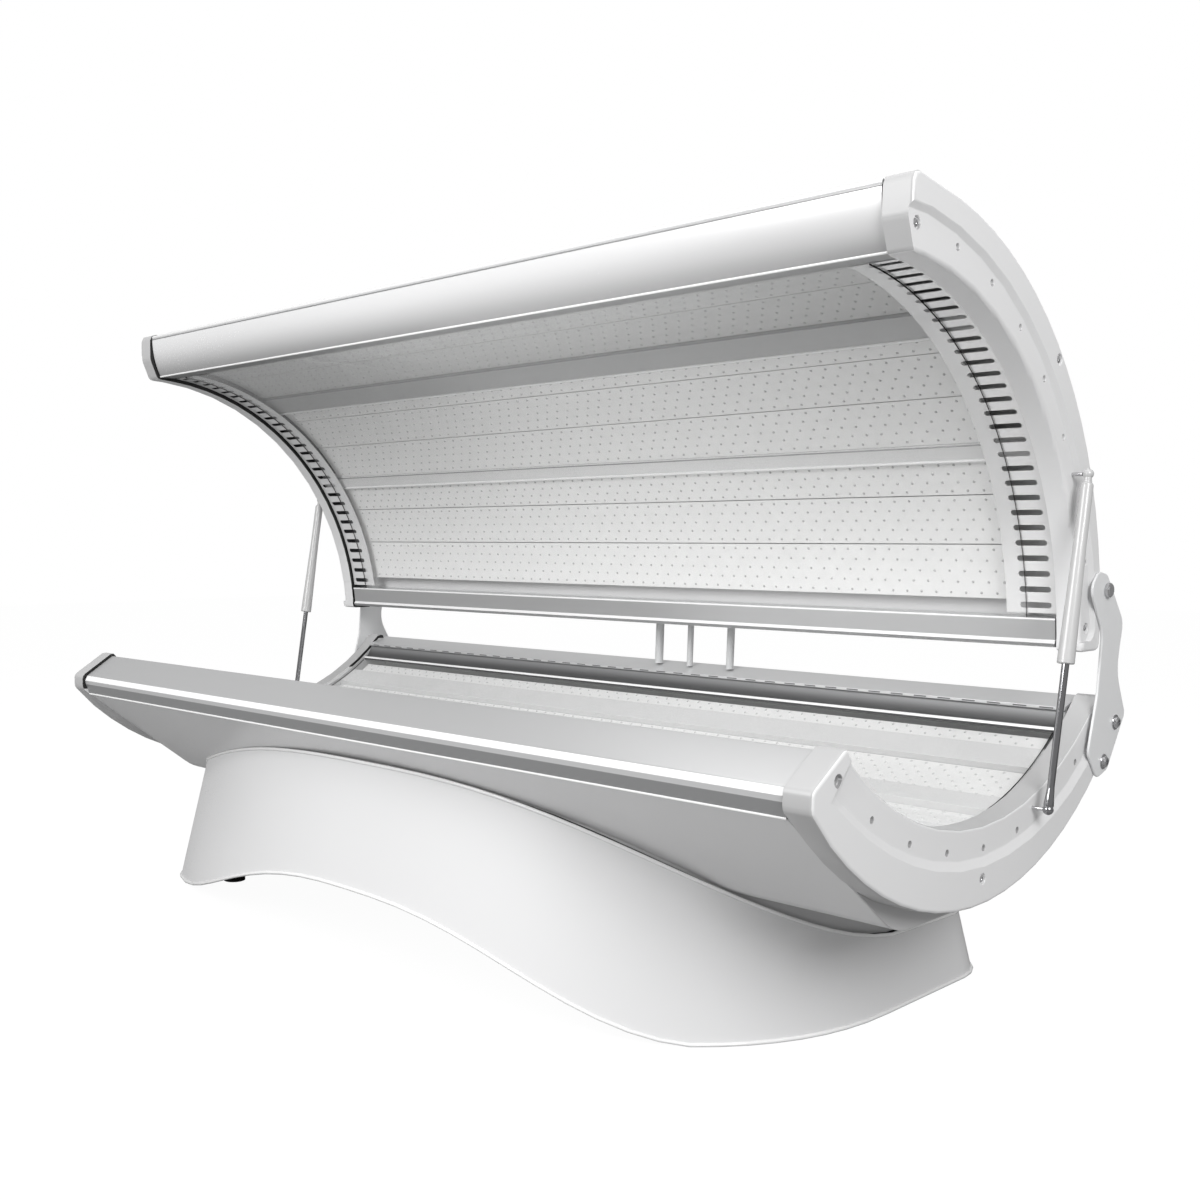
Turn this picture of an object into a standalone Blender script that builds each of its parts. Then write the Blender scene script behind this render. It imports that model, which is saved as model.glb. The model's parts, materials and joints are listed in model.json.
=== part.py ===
"""Light therapy bed: a lamp trough on a waved plinth, and a hinged lamp canopy on two gas struts.

Metres, +Z up. +X runs along the bed, the open front faces -Y, and the origin is on the floor under
the middle. Most pieces are outlines in the Y-Z plane, extruded along X.
"""
import bpy
import bmesh
from math import acos, asin, atan2, cos, degrees, hypot, pi, radians, sin
from mathutils import Matrix, Vector

# Clearances and stock
GAP = 0.0003
SKIN = 0.003
EXTRUSION_WALL = 0.0035
END_PLATE = 0.003

# Bed as a whole
BODY_LENGTH = 2.016
SILL_HEIGHT = 0.543
TROUGH_Y = -0.0071
TROUGH_R = 0.5915
CREST_ANGLE = -134.2
REAR_ANGLE = -43.5
CREST_RISE = 0.003
REAR_SETBACK = 0.0225
BELLY_DEPTH = 0.311
BELLY_SLOPE = 37.2
BELLY_ROUND = 0.12

# End caps
CAP_DEPTH = 0.0475
CAP_RECESS = 0.014
CAP_WALL = 0.004
CAP_ROUND = 0.0085
CAP_PROUD = 0.018

# Canopy
CANOPY_R = 0.621
CANOPY_SPACE = 0.036
SHELL_RISE = 0.040
SHELL_SHIFT = 0.006
PIVOT_OUT = 0.024
PIVOT_RISE = 0.130
SOFFIT_LIP = 0.008
NOSE_HEIGHT = 0.0935
NOSE_DEPTH = 0.0585

# Hinge, measured from the top edge of the rear rail
HINGE_FORWARD = 0.0403
HINGE_RISE = 0.1937
LINK_PLATE = 0.005
PIVOT_R = 0.008
PIVOT_SHOULDER_R = 0.011
PIVOT_HEAD_R = 0.013
PIVOT_HEAD = 0.008
EAR_R = 0.030

# Vent strips
SLOT_COUNT = 29
SLOT_PITCH = 2.616
FIRST_SLOT = 9.56
SLOT_LENGTH = 0.057
SLOT_WIDTH = 0.0075
SLOT_MARGIN = 0.008
STRIP_WIDTH = 0.090
STRIP_SHEET = 0.002

# Lamps and their covers
COVER_SHEET = 0.003
BOARD = 0.0016
BOARD_SETBACK = 0.017
CANOPY_COVER_IN = 0.053
CANOPY_BOARD_IN = 0.073
CANOPY_ZONES = ((10.0, 34.1), (37.1, 59.0), (65.0, 83.6))
BASE_COVER_IN = 0.008
BASE_BOARD_IN = 0.018
BASE_COVER_SETBACK = 0.0085
BASE_RIDGES = 4
RIDGE_START = -63.0
RIDGE_PITCH = 15.3
RIDGE_SPAN = 5.3
BASE_LAMP_FRONT = -118.9
BASE_LAMP_REAR = -53.6
RAIL_FLANGE_ANGLE = -121.5
HAT_SHEET = 0.002
HAT_FLANGE = 0.9

# Gas struts
STRUT_OUT = 0.020
STRUT_LOW_ANGLE = -73.6
STRUT_LOW_IN = 0.019
STRUT_TOP_ANGLE = 30.7
STRUT_TOP_IN = 0.0196
ROD_R = 0.006
ROD_INSIDE = 0.035
TUBE_LENGTH = 0.318
TUBE_TOP_R = 0.0105
TUBE_END_R = 0.014
BALL_R = 0.0050
SOCKET_R = 0.0088
STUD_FLANGE_R = 0.0075
STUD_FLANGE = 0.005
STUD_NECK_R = 0.0032
STUD_SEAT_R = 0.010

# Conduits between base and canopy: place along X, and diameter
CONDUITS = ((0.040, 0.019), (0.131, 0.014), (0.243, 0.017))
CONDUIT_BEND = 0.078
CONDUIT_TURN = 65.0
CONDUIT_ENTRY = 8.4
CONDUIT_LEAN = 0.005

# Plinth skirt
SKIRT_SHEET = 0.004
SKIRT_FLARE = 0.244
SKIRT_END_IN = 0.153
SKIRT_REACH = 0.593
SKIRT_POWER = 2.3
SKIRT_MIDDLE = 0.0649
SKIRT_REAR = 0.4625
SKIRT_CORNER = 0.12
SKIRT_LEFT_BOW = 0.26
SKIRT_LEFT_SHORT = 0.010
SKIRT_BELOW_SILL = 0.142
SKIRT_SIDE_TOP = 0.119
SKIRT_ARCH = 0.168
SKIRT_FLOOR_GAP = 0.002
SKIRT_BELLY_GAP = 0.004
WAVE_RIGHT = 1.32
WAVE_LEFT = 1.82
ARCH_RIGHT = 0.80
ARCH_LEFT = 0.89
EASE_RIGHT = 1.35
EASE_LEFT = 1.15

# Frame and feet
FRAME_HEIGHT = 0.060
FRAME_BAR = 0.050
FRAME_WALL = 0.004
BEARER_IN = 0.120
BEARER_WIDTH = 0.060
BEARER_REAR = 0.335
FOOT_IN = 0.050
FOOT_R = 0.026
FOOT_DISC = 0.012
FOOT_STEM_R = 0.012

# Power supplies and fans in the belly
SUPPLY_X = 0.26
SUPPLY_SIZE = (0.215, 0.115, 0.050)
FAN_X = 0.52
FAN_SIDE = 0.120
FAN_DEPTH = 0.038
FAN_BORE_R = 0.056
FAN_HUB_R = 0.021
FAN_BLADES = 7
FAN_SPIDER = 0.004


def polar(centre, radius, angle):
    return (centre[0] + radius * cos(radians(angle)), centre[1] + radius * sin(radians(angle)))


def shift(point, dy, dz):
    return (point[0] + dy, point[1] + dz)


# Section points worked out from the driving dimensions
HALF_BODY = BODY_LENGTH / 2
SKIRT_HALF = HALF_BODY - SKIRT_END_IN
SKIRT_LEFT_END = SKIRT_HALF - SKIRT_LEFT_SHORT
BEARER_X = SKIRT_HALF - BEARER_IN
CAP_IN = HALF_BODY + END_PLATE + 2 * GAP
CAP_OUT = CAP_IN + CAP_DEPTH
FIELD_X = CAP_OUT - CAP_RECESS
STRUT_X = CAP_OUT + STRUT_OUT
TROUGH = (TROUGH_Y, SILL_HEIGHT - (TROUGH_R + CREST_RISE) * sin(radians(CREST_ANGLE)))
CREST = polar(TROUGH, TROUGH_R + CREST_RISE, CREST_ANGLE)
REAR_TOP = polar(TROUGH, TROUGH_R + REAR_SETBACK, REAR_ANGLE)
HINGE = shift(REAR_TOP, -HINGE_FORWARD, HINGE_RISE)
SHELL_R = CANOPY_R + CANOPY_SPACE
CANOPY = shift(HINGE, -(PIVOT_OUT + SHELL_R + SHELL_SHIFT), -PIVOT_RISE)
SHELL_CENTRE = shift(CANOPY, SHELL_SHIFT, SHELL_RISE)
BELLY_Z = SILL_HEIGHT - BELLY_DEPTH
FRONT_LOW = shift(CREST, -0.0635, -0.0905)
REAR_LOW = shift(REAR_TOP, 0.0, -0.1363)
RAIL_LIP = (0.0623, 0.0177)
RAIL_FALL = RAIL_LIP[1] / RAIL_LIP[0]
STRUT_LOW = polar(TROUGH, TROUGH_R + STRUT_LOW_IN, STRUT_LOW_ANGLE)
STRUT_TOP = polar(CANOPY, CANOPY_R + STRUT_TOP_IN, STRUT_TOP_ANGLE)
NOSE_REAR = CANOPY[0] + NOSE_DEPTH
NOSE_LOW = CANOPY[1] + CANOPY_R - 0.003
FLOOR_TO_FRAME = BELLY_Z - GAP - FRAME_HEIGHT


# Outlines

def arc(centre, radius, start, end, steps):
    """Points on a circle from one angle to another, both ends included."""
    return [polar(centre, radius, start + (end - start) * i / steps) for i in range(steps + 1)]


def band(centre, inner, outer, start, end, steps):
    """A curved strip of sheet between two radii."""
    return arc(centre, outer, start, end, steps) + arc(centre, inner, end, start, steps)


def arc_through(first, middle, last, steps):
    """Points on the circle through three points."""
    (ax, ay), (bx, by), (cx, cy) = first, middle, last
    d = 2 * (ax * (by - cy) + bx * (cy - ay) + cx * (ay - by))
    a2, b2, c2 = ax * ax + ay * ay, bx * bx + by * by, cx * cx + cy * cy
    centre = ((a2 * (by - cy) + b2 * (cy - ay) + c2 * (ay - by)) / d,
              (a2 * (cx - bx) + b2 * (ax - cx) + c2 * (bx - ax)) / d)
    start = degrees(atan2(ay - centre[1], ax - centre[0]))
    end = degrees(atan2(cy - centre[1], cx - centre[0]))
    sweep = (end - start + 180) % 360 - 180
    return arc(centre, hypot(ax - centre[0], ay - centre[1]), start, start + sweep, steps)


def rounded(corners, steps=4):
    """An outline from (y, z, radius) corners; a radius of 0 leaves the corner as it is."""
    points = []
    for i, (y, z, radius) in enumerate(corners):
        if not radius:
            points.append((y, z))
            continue
        here = Vector((y, z))
        back = (Vector(corners[i - 1][:2]) - here).normalized()
        ahead = (Vector(corners[(i + 1) % len(corners)][:2]) - here).normalized()
        half = acos(max(-1.0, min(1.0, back.dot(ahead)))) / 2
        reach = radius / max(0.05, abs(sin(half) / cos(half)))
        bisector = (back + ahead).normalized()
        centre = here + bisector * (radius / sin(half))
        first = here + back * reach
        last = here + ahead * reach
        middle = centre - bisector * radius
        points.extend(arc_through(tuple(first), tuple(middle), tuple(last), steps))
    return points


def plain(points):
    """Outline points as corners that stay sharp."""
    return [(y, z, 0) for y, z in points]


def area(outline):
    return sum(a[0] * b[1] - b[0] * a[1] for a, b in zip(outline, outline[1:] + outline[:1])) / 2


def inset(outline, distance):
    """The outline moved inwards, edge by edge."""
    turn = 1 if area(outline) > 0 else -1
    moved = []
    for i, point in enumerate(outline):
        here = Vector(point)
        back = (here - Vector(outline[i - 1])).normalized()
        ahead = (Vector(outline[(i + 1) % len(outline)]) - here).normalized()
        normal_back = Vector((-back.y, back.x)) * turn
        normal_ahead = Vector((-ahead.y, ahead.x)) * turn
        along = (normal_back + normal_ahead).normalized()
        moved.append(tuple(here + along * (distance / max(0.3, along.dot(normal_back)))))
    return moved


# Objects

def material(name, colour, roughness, metallic):
    made = bpy.data.materials.new(name)
    made.use_nodes = True
    shader = made.node_tree.nodes["Principled BSDF"]
    shader.inputs["Base Color"].default_value = (*colour, 1.0)
    shader.inputs["Roughness"].default_value = roughness
    shader.inputs["Metallic"].default_value = metallic
    made.diffuse_color = (*colour, 1.0)
    return made


def empty_at(name, y, z):
    marker = bpy.data.objects.new(name, None)
    marker.location = (0, y, z)
    marker.empty_display_size = 0.05
    PARTS.objects.link(marker)
    return marker


def place(name, mesh, finish, carrier=None):
    """A part from a mesh in world coordinates, carried by an empty on its joint's axis."""
    mesh.name = name
    mesh.materials.clear()
    mesh.materials.append(finish)
    made = bpy.data.objects.new(name, mesh)
    PARTS.objects.link(made)
    if carrier:
        made.parent = carrier
        made.matrix_parent_inverse = Matrix.Translation(carrier.location).inverted()
    return made


def cutter(name, mesh):
    made = bpy.data.objects.new(name, mesh)
    made.hide_render = True
    made.display_type = "WIRE"
    CUTTERS.objects.link(made)
    return made


def combine(target, tool, operation):
    step = target.modifiers.new(tool.name, "BOOLEAN")
    step.operation = operation
    step.solver = "EXACT"
    step.object = tool


def settle(mesh, smooth_angle=35):
    mesh.shade_smooth()
    mesh.set_sharp_from_angle(angle=radians(smooth_angle))
    return mesh


ALONG_X = Matrix(((0, 0, 1, 0), (1, 0, 0, 0), (0, 1, 0, 0), (0, 0, 0, 1)))


def flat_curve(loops, thickness, edge=0.0, edge_steps=1, grow=0.0):
    """A filled flat curve of one outline and its holes, made a mesh that lies on its own X-Y plane."""
    curve = bpy.data.curves.new("outline", "CURVE")
    curve.dimensions = "2D"
    curve.fill_mode = "BOTH"
    curve.extrude = thickness / 2 - edge
    curve.bevel_depth = edge
    curve.bevel_resolution = edge_steps
    curve.offset = grow - edge
    for loop in loops:
        spline = curve.splines.new("POLY")
        spline.points.add(len(loop) - 1)
        for point, (u, v) in zip(spline.points, loop):
            point.co = (u, v, 0, 1)
        spline.use_cyclic_u = True
    holder = bpy.data.objects.new("outline", curve)
    bpy.context.scene.collection.objects.link(holder)
    bpy.context.view_layer.update()
    graph = bpy.context.evaluated_depsgraph_get()
    mesh = bpy.data.meshes.new_from_object(holder.evaluated_get(graph))
    bpy.data.objects.remove(holder)
    bpy.data.curves.remove(curve)
    shape = bmesh.new()
    shape.from_mesh(mesh)
    bmesh.ops.remove_doubles(shape, verts=shape.verts, dist=0.00001)
    bmesh.ops.recalc_face_normals(shape, faces=shape.faces)
    shape.to_mesh(mesh)
    shape.free()
    return mesh


def prism(loops, x_from, x_to, edge=0.0, edge_steps=1, grow=0.0):
    """Y-Z outlines extruded along X."""
    mesh = flat_curve(loops, abs(x_to - x_from), edge, edge_steps, grow)
    mesh.transform(Matrix.Translation(((x_from + x_to) / 2, 0, 0)) @ ALONG_X)
    return settle(mesh)


def trimmed(mesh, x, side):
    """The mesh cut square at one X, with what lies further in taken off."""
    shape = bmesh.new()
    shape.from_mesh(mesh)
    everything = shape.verts[:] + shape.edges[:] + shape.faces[:]
    cut = bmesh.ops.bisect_plane(shape, geom=everything, plane_co=(x, 0, 0), plane_no=(-side, 0, 0),
                                 clear_outer=True)["geom_cut"]
    rim = [item for item in cut if isinstance(item, bmesh.types.BMEdge)]
    bmesh.ops.contextual_create(shape, geom=rim)
    bmesh.ops.recalc_face_normals(shape, faces=shape.faces)
    shape.to_mesh(mesh)
    shape.free()
    return settle(mesh)


def slab(loops, z_from, z_to):
    """X-Y outlines extruded upwards."""
    mesh = flat_curve(loops, z_to - z_from)
    mesh.transform(Matrix.Translation((0, 0, (z_from + z_to) / 2)))
    return settle(mesh)


def turned(name, profile, finish, carrier=None, sides=20):
    """A profile of (radius, height) points, top to bottom, turned about the object's own Z axis."""
    mesh = bpy.data.meshes.new(name)
    mesh.from_pydata([(r, 0, z) for r, z in profile], [(i, i + 1) for i in range(len(profile) - 1)], [])
    made = place(name, mesh, finish)
    lathe = made.modifiers.new("turn", "SCREW")
    lathe.steps = sides
    lathe.render_steps = sides
    lathe.use_merge_vertices = True
    lathe.merge_threshold = 0.00001
    if carrier:
        made.parent = carrier
    return made


def drum(radius, depth, matrix, sides=24):
    """A closed cylinder mesh about Z, placed by a matrix."""
    shape = bmesh.new()
    bmesh.ops.create_cone(shape, cap_ends=True, segments=sides, radius1=radius, radius2=radius, depth=depth)
    mesh = bpy.data.meshes.new("drum")
    shape.to_mesh(mesh)
    shape.free()
    mesh.transform(matrix)
    return mesh


def box_mesh(size, centre):
    shape = bmesh.new()
    bmesh.ops.create_cube(shape, size=1.0)
    bmesh.ops.scale(shape, vec=size, verts=shape.verts)
    bmesh.ops.translate(shape, vec=centre, verts=shape.verts)
    mesh = bpy.data.meshes.new("box")
    shape.to_mesh(mesh)
    shape.free()
    return mesh


SIDES = (("left", -1), ("right", 1))
TURN_TO_X = Matrix.Rotation(pi / 2, 4, "Y")


# Base sections

def belly_path():
    """The belly's outer line from the front rail, under the trough, to the rear rail."""
    run = (FRONT_LOW[1] - GAP - BELLY_Z) / sin(radians(BELLY_SLOPE)) * cos(radians(BELLY_SLOPE))
    start = shift(FRONT_LOW, 0.0015, -GAP)
    end = shift(REAR_LOW, 0.0, -GAP)
    front_corner = (start[0] + run, BELLY_Z)
    rear_corner = (end[0] - 1.1 * run, BELLY_Z)
    corners = [(*start, 0), (*front_corner, BELLY_ROUND), (*rear_corner, BELLY_ROUND), (*end, 0)]
    return rounded(corners, 6)


def sheet_outline(path, thickness):
    """A sheet of even thickness on the inner side of an open path."""
    closed = inset(path + [(path[-1][0], path[0][1])], thickness)
    inner = closed[:len(path)]
    inner[0] = (path[0][0] + thickness, path[0][1])
    inner[-1] = (path[-1][0] - thickness, path[-1][1])
    return path + inner[::-1]


def lower_cap_outline(corners=1):
    """A lower cap's crescent; corners of 0 leaves its corners sharp."""
    outer_centre = shift(TROUGH, -0.016, -0.076)
    inner_edge = arc(TROUGH, TROUGH_R, -133.0, REAR_ANGLE - 1.8, 18)
    outer_edge = arc(outer_centre, TROUGH_R + 0.050, -46.9, -132.0, 17)
    rear = [(*shift(REAR_TOP, -0.006, 0.008), 0.0095), (*shift(REAR_TOP, -0.004, -0.098), 0.0095)]
    front = [(*shift(CREST, -0.080, -0.0745), 0.018), (*shift(CREST, -0.0795, -0.0445), 0.014),
             (*shift(CREST, 0.006, 0.010), 0.0095)]
    ends = [(y, z, radius * corners) for y, z, radius in rear + front]
    return rounded(plain(inner_edge) + ends[:2] + plain(outer_edge) + ends[2:], 2)


def lower_field_outline():
    """The sunken field of a lower cap, run past the cap's inner edge."""
    step_centre = shift(TROUGH, -0.005, 0.062)
    step = arc(step_centre, TROUGH_R + 0.117, -131.2, -53.2, 16)
    rear = [shift(REAR_TOP, -0.0285, -0.045)]
    inside = arc(TROUGH, TROUGH_R - 0.03, REAR_ANGLE - 2.0, -131.0, 10)
    front = [shift(CREST, 0.0123, -0.0028)]
    return step + rear + inside + front


def front_rail_loops():
    flange_top = arc(TROUGH, TROUGH_R + 0.006, RAIL_FLANGE_ANGLE, CREST_ANGLE + 1.5, 6)
    flange_low = arc(TROUGH, TROUGH_R + 0.0145, CREST_ANGLE + 4.5, RAIL_FLANGE_ANGLE, 5)
    nose = [(*CREST, 0.004), (*shift(CREST, -0.0680, -0.0440), 0.012),
            (*shift(CREST, -0.0750, -0.0555), 0.006), (*shift(CREST, -0.0735, -0.0658), 0.004),
            (*FRONT_LOW, 0), (*shift(FRONT_LOW, 0.0116, 0.0), 0)]
    outer = rounded(nose + plain(flange_low + flange_top), 3)
    web = [CREST, shift(CREST, -0.0680, -0.0455), shift(CREST, -0.0735, -0.0658), FRONT_LOW,
           shift(FRONT_LOW, 0.0116, 0.0), polar(TROUGH, TROUGH_R + 0.0145, CREST_ANGLE + 4.5)]
    return [outer, inset(web, EXTRUSION_WALL)]


def rear_rail_loops():
    lip = [REAR_TOP, shift(REAR_TOP, -RAIL_LIP[0], -RAIL_LIP[1]), shift(REAR_TOP, -RAIL_LIP[0], -0.0228),
           shift(REAR_TOP, -0.0543, -0.0248), shift(REAR_TOP, -0.0673, -0.0493)]
    bead = arc(shift(REAR_TOP, -0.0745, -0.0588), 0.0065, 60, 300, 6)
    foot = [shift(REAR_TOP, -EXTRUSION_WALL, -0.0693), shift(REAR_LOW, -EXTRUSION_WALL, 0.0), REAR_LOW]
    hollow = [shift(REAR_TOP, -EXTRUSION_WALL, -0.006), shift(REAR_TOP, -0.0480, -0.0190),
              shift(REAR_TOP, -0.0625, -0.0470), shift(REAR_TOP, -0.0640, -0.0600),
              shift(REAR_TOP, -EXTRUSION_WALL, -0.0650)]
    return [lip + bead + foot, inset(hollow, 0.0002)]


def base_plate_outline():
    inner_edge = arc(TROUGH, TROUGH_R + 0.007, -132.5, REAR_ANGLE - 2.0, 20)
    lug = [(*shift(REAR_TOP, -0.012, -0.004), 0), (*shift(REAR_TOP, 0.036, -0.026), 0.012),
           (*shift(REAR_TOP, 0.036, -0.070), 0.012)]
    front = [shift(CREST, -0.066, -0.064), shift(CREST, -0.064, -0.050), shift(CREST, 0.004, -0.004)]
    return rounded(plain(inner_edge) + lug + plain(belly_path()[::-1] + front), 3)


def hat_outline(centre, crown, foot, start, end):
    """A sheet channel on a curve: crown towards the person, flanges under the lamp boards."""
    wall = degrees(HAT_SHEET / crown)
    deep = foot + HAT_SHEET
    low, high = start - HAT_FLANGE, end + HAT_FLANGE
    near = [(deep, low), (foot, low), (foot, start)]
    far = [(foot, end), (foot, high), (deep, high), (deep, end - wall)]
    return ([polar(centre, radius, angle) for radius, angle in near] + arc(centre, crown, start, end, 4)
            + [polar(centre, radius, angle) for radius, angle in far]
            + arc(centre, crown + HAT_SHEET, end - wall, start + wall, 4) + [polar(centre, deep, start + wall)])


# Canopy sections

def nose_front():
    """The convex face of the nose, from its top bead to its lower lip."""
    top = (CANOPY[0] - 0.0014, NOSE_LOW + NOSE_HEIGHT)
    middle = (CANOPY[0] + 0.0045, NOSE_LOW + 0.042)
    lip = (CANOPY[0] + 0.0203, NOSE_LOW)
    return top, middle, lip


def shell_start():
    """The angle at which the shell meets the back of the nose."""
    return degrees(acos((NOSE_REAR + GAP - SHELL_CENTRE[0]) / SHELL_R))


def nose_loops():
    top, middle, lip = nose_front()
    back_high = (NOSE_REAR, SHELL_CENTRE[1] + SHELL_R * sin(radians(shell_start())))
    bead = arc(shift(top, 0.0045, 0.0012), 0.0045, 80, 230, 6)
    face = arc_through(shift(top, 0.0004, -0.0045), middle, lip, 10)
    outer = bead + face + [(NOSE_REAR, NOSE_LOW), back_high]
    web = [shift(top, 0.006, 0.0), middle, lip, (NOSE_REAR, NOSE_LOW), back_high]
    return [outer, inset(web, EXTRUSION_WALL)]


def canopy_rail_points():
    """The rail's front edge, top and bottom, and the level of the flange under the shell."""
    top = shift(CANOPY, CANOPY_R - 0.0096, 0.0794)
    low = shift(CANOPY, CANOPY_R - 0.0052, 0.0425)
    flange = CANOPY[1] + 0.0335
    return top, low, flange


def canopy_rail_loops():
    top, low, flange = canopy_rail_points()
    shell_back = SHELL_CENTRE[0] + SHELL_R
    inner_back = shell_back - SKIN - 0.006
    under = flange - EXTRUSION_WALL
    outer = [top, low, shift(low, -0.0035, -0.0060), (low[0], under), (shell_back, under),
             (shell_back, flange), (inner_back, flange), (inner_back, top[1] + 0.0036)]
    hollow = [top, low, (low[0], flange), (inner_back, flange), (inner_back, top[1] + 0.0036)]
    return [outer, inset(hollow, EXTRUSION_WALL)]


def canopy_cap_outline(corners=1):
    """A canopy cap's crescent; corners of 0 leaves its corners sharp."""
    top, middle, lip = nose_front()
    soffit = arc(CANOPY, CANOPY_R - SOFFIT_LIP, 84.6, 4.6, 18)
    low_z = CANOPY[1] + 0.024
    back = SHELL_CENTRE[0] + SHELL_R + CAP_PROUD
    tail = [(soffit[-1][0] - 0.001, low_z, 0.0095), (back, low_z, 0.012)]
    outer = arc(SHELL_CENTRE, SHELL_R + CAP_PROUD, 1.5, 84.0, 18)
    nose = [(*shift(top, -0.003, 0.0130), 0.016), (*shift(middle, -0.010, 0.0), 0.03),
            (*shift(lip, -0.007, -0.004), 0.012)]
    ends = [(y, z, radius * corners) for y, z, radius in tail + nose]
    return rounded(plain(soffit) + ends[:2] + plain(outer) + ends[2:], 2)


def canopy_field_outline():
    """The sunken field of a canopy cap, run past the cap's soffit and its front."""
    _, _, lip = nose_front()
    step_centre = shift(CANOPY, -0.046, -0.025)
    step = arc(step_centre, CANOPY_R + 0.077, 93.0, 7.5, 18)
    tail = [(CANOPY[0] + CANOPY_R + 0.006, CANOPY[1] + 0.043), (CANOPY[0] + CANOPY_R - 0.04, CANOPY[1] + 0.043)]
    inside = arc(CANOPY, CANOPY_R - 0.04, 8.0, 80.0, 10)
    nose = [shift(lip, -0.10, -0.03)]
    return step + tail + inside + nose


# Base pieces

def end_cap(name, outline_of, field, side, finish, carrier=None):
    """A moulded crescent: round-edged, hollow behind, with a sunken field on its outer face."""
    moulding = prism([outline_of()], side * (CAP_IN - CAP_ROUND), side * CAP_OUT, CAP_ROUND, 2)
    made = place(name, trimmed(moulding, side * CAP_IN, side), finish, carrier)
    reach = CAP_RECESS * 2
    recess = prism([field], side * FIELD_X, side * (FIELD_X + 2 * reach), CAP_RECESS, 0, CAP_RECESS / 2)
    combine(made, cutter(name + "_field", recess), "DIFFERENCE")
    hollow = inset(outline_of(0), CAP_ROUND + CAP_WALL)
    pocket = prism([hollow], side * (CAP_IN - CAP_WALL), side * (FIELD_X - CAP_WALL))
    combine(made, cutter(name + "_pocket", pocket), "DIFFERENCE")
    return made


def build_base_shell():
    for label, side in SIDES:
        end_cap("lower_cap_" + label, lower_cap_outline, lower_field_outline(), side, WHITE_CAP)
        plate_x = side * (HALF_BODY + GAP)
        plate = prism([base_plate_outline()], plate_x, plate_x + side * END_PLATE)
        place("base_end_plate_" + label, plate, SATIN_SKIN)
    shell = place("lower_shell", prism([sheet_outline(belly_path(), SKIN)], -HALF_BODY, HALF_BODY), SATIN_SKIN)
    for label, side in SIDES:
        hole = drum(FAN_BORE_R - 0.002, 0.05, Matrix.Translation((side * FAN_X, belly_middle(), BELLY_Z)))
        combine(shell, cutter("fan_hole_" + label, hole), "DIFFERENCE")
    place("base_front_rail", prism(front_rail_loops(), -HALF_BODY, HALF_BODY), BRIGHT_RAIL)
    place("base_rear_rail", prism(rear_rail_loops(), -HALF_BODY, HALF_BODY), BRIGHT_RAIL)


def build_base_lamps():
    cover_r = TROUGH_R + BASE_COVER_SETBACK
    crown_r = cover_r + COVER_SHEET + GAP
    board_r = TROUGH_R + BASE_COVER_SETBACK + BOARD_SETBACK
    half_cover = HALF_BODY - BASE_COVER_IN
    cover = band(TROUGH, cover_r, cover_r + COVER_SHEET, RAIL_FLANGE_ANGLE + 0.2, BASE_LAMP_REAR, 24)
    place("base_acrylic", prism([cover], -half_cover, half_cover), CLEAR)
    edges = [BASE_LAMP_REAR]
    for i in range(BASE_RIDGES):
        start = RIDGE_START - RIDGE_PITCH * i
        hat = hat_outline(TROUGH, crown_r, board_r + BOARD + GAP, start, start + RIDGE_SPAN)
        place("base_divider_%d" % (i + 1), prism([hat], -HALF_BODY, HALF_BODY), WHITE_SHEET)
        edges += [start + RIDGE_SPAN, start]
    edges.append(BASE_LAMP_FRONT)
    half_board = HALF_BODY - BASE_BOARD_IN
    margin = degrees(GAP / board_r)
    for i in range(BASE_RIDGES + 1):
        rear, front = edges[2 * i], edges[2 * i + 1]
        board = band(TROUGH, board_r, board_r + BOARD, front + margin, rear - margin, 5)
        place("base_led_board_%d" % (i + 1), prism([board], -half_board, half_board), LAMP_WHITE)


def belly_middle():
    flat = [y for y, z in belly_path() if z < BELLY_Z + 0.001]
    return (min(flat) + max(flat)) / 2


def build_belly_machines():
    floor = BELLY_Z + SKIN + GAP
    middle = belly_middle()
    for label, side in SIDES:
        length, depth, height = SUPPLY_SIZE
        centre = (side * SUPPLY_X, middle, floor + height / 2)
        supply = place("power_supply_" + label, box_mesh(SUPPLY_SIZE, centre), DARK_STEEL)
        edge = supply.modifiers.new("edge", "BEVEL")
        edge.width = SKIN
        edge.segments = 1
        build_fan(label, side * FAN_X, middle, floor)


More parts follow.
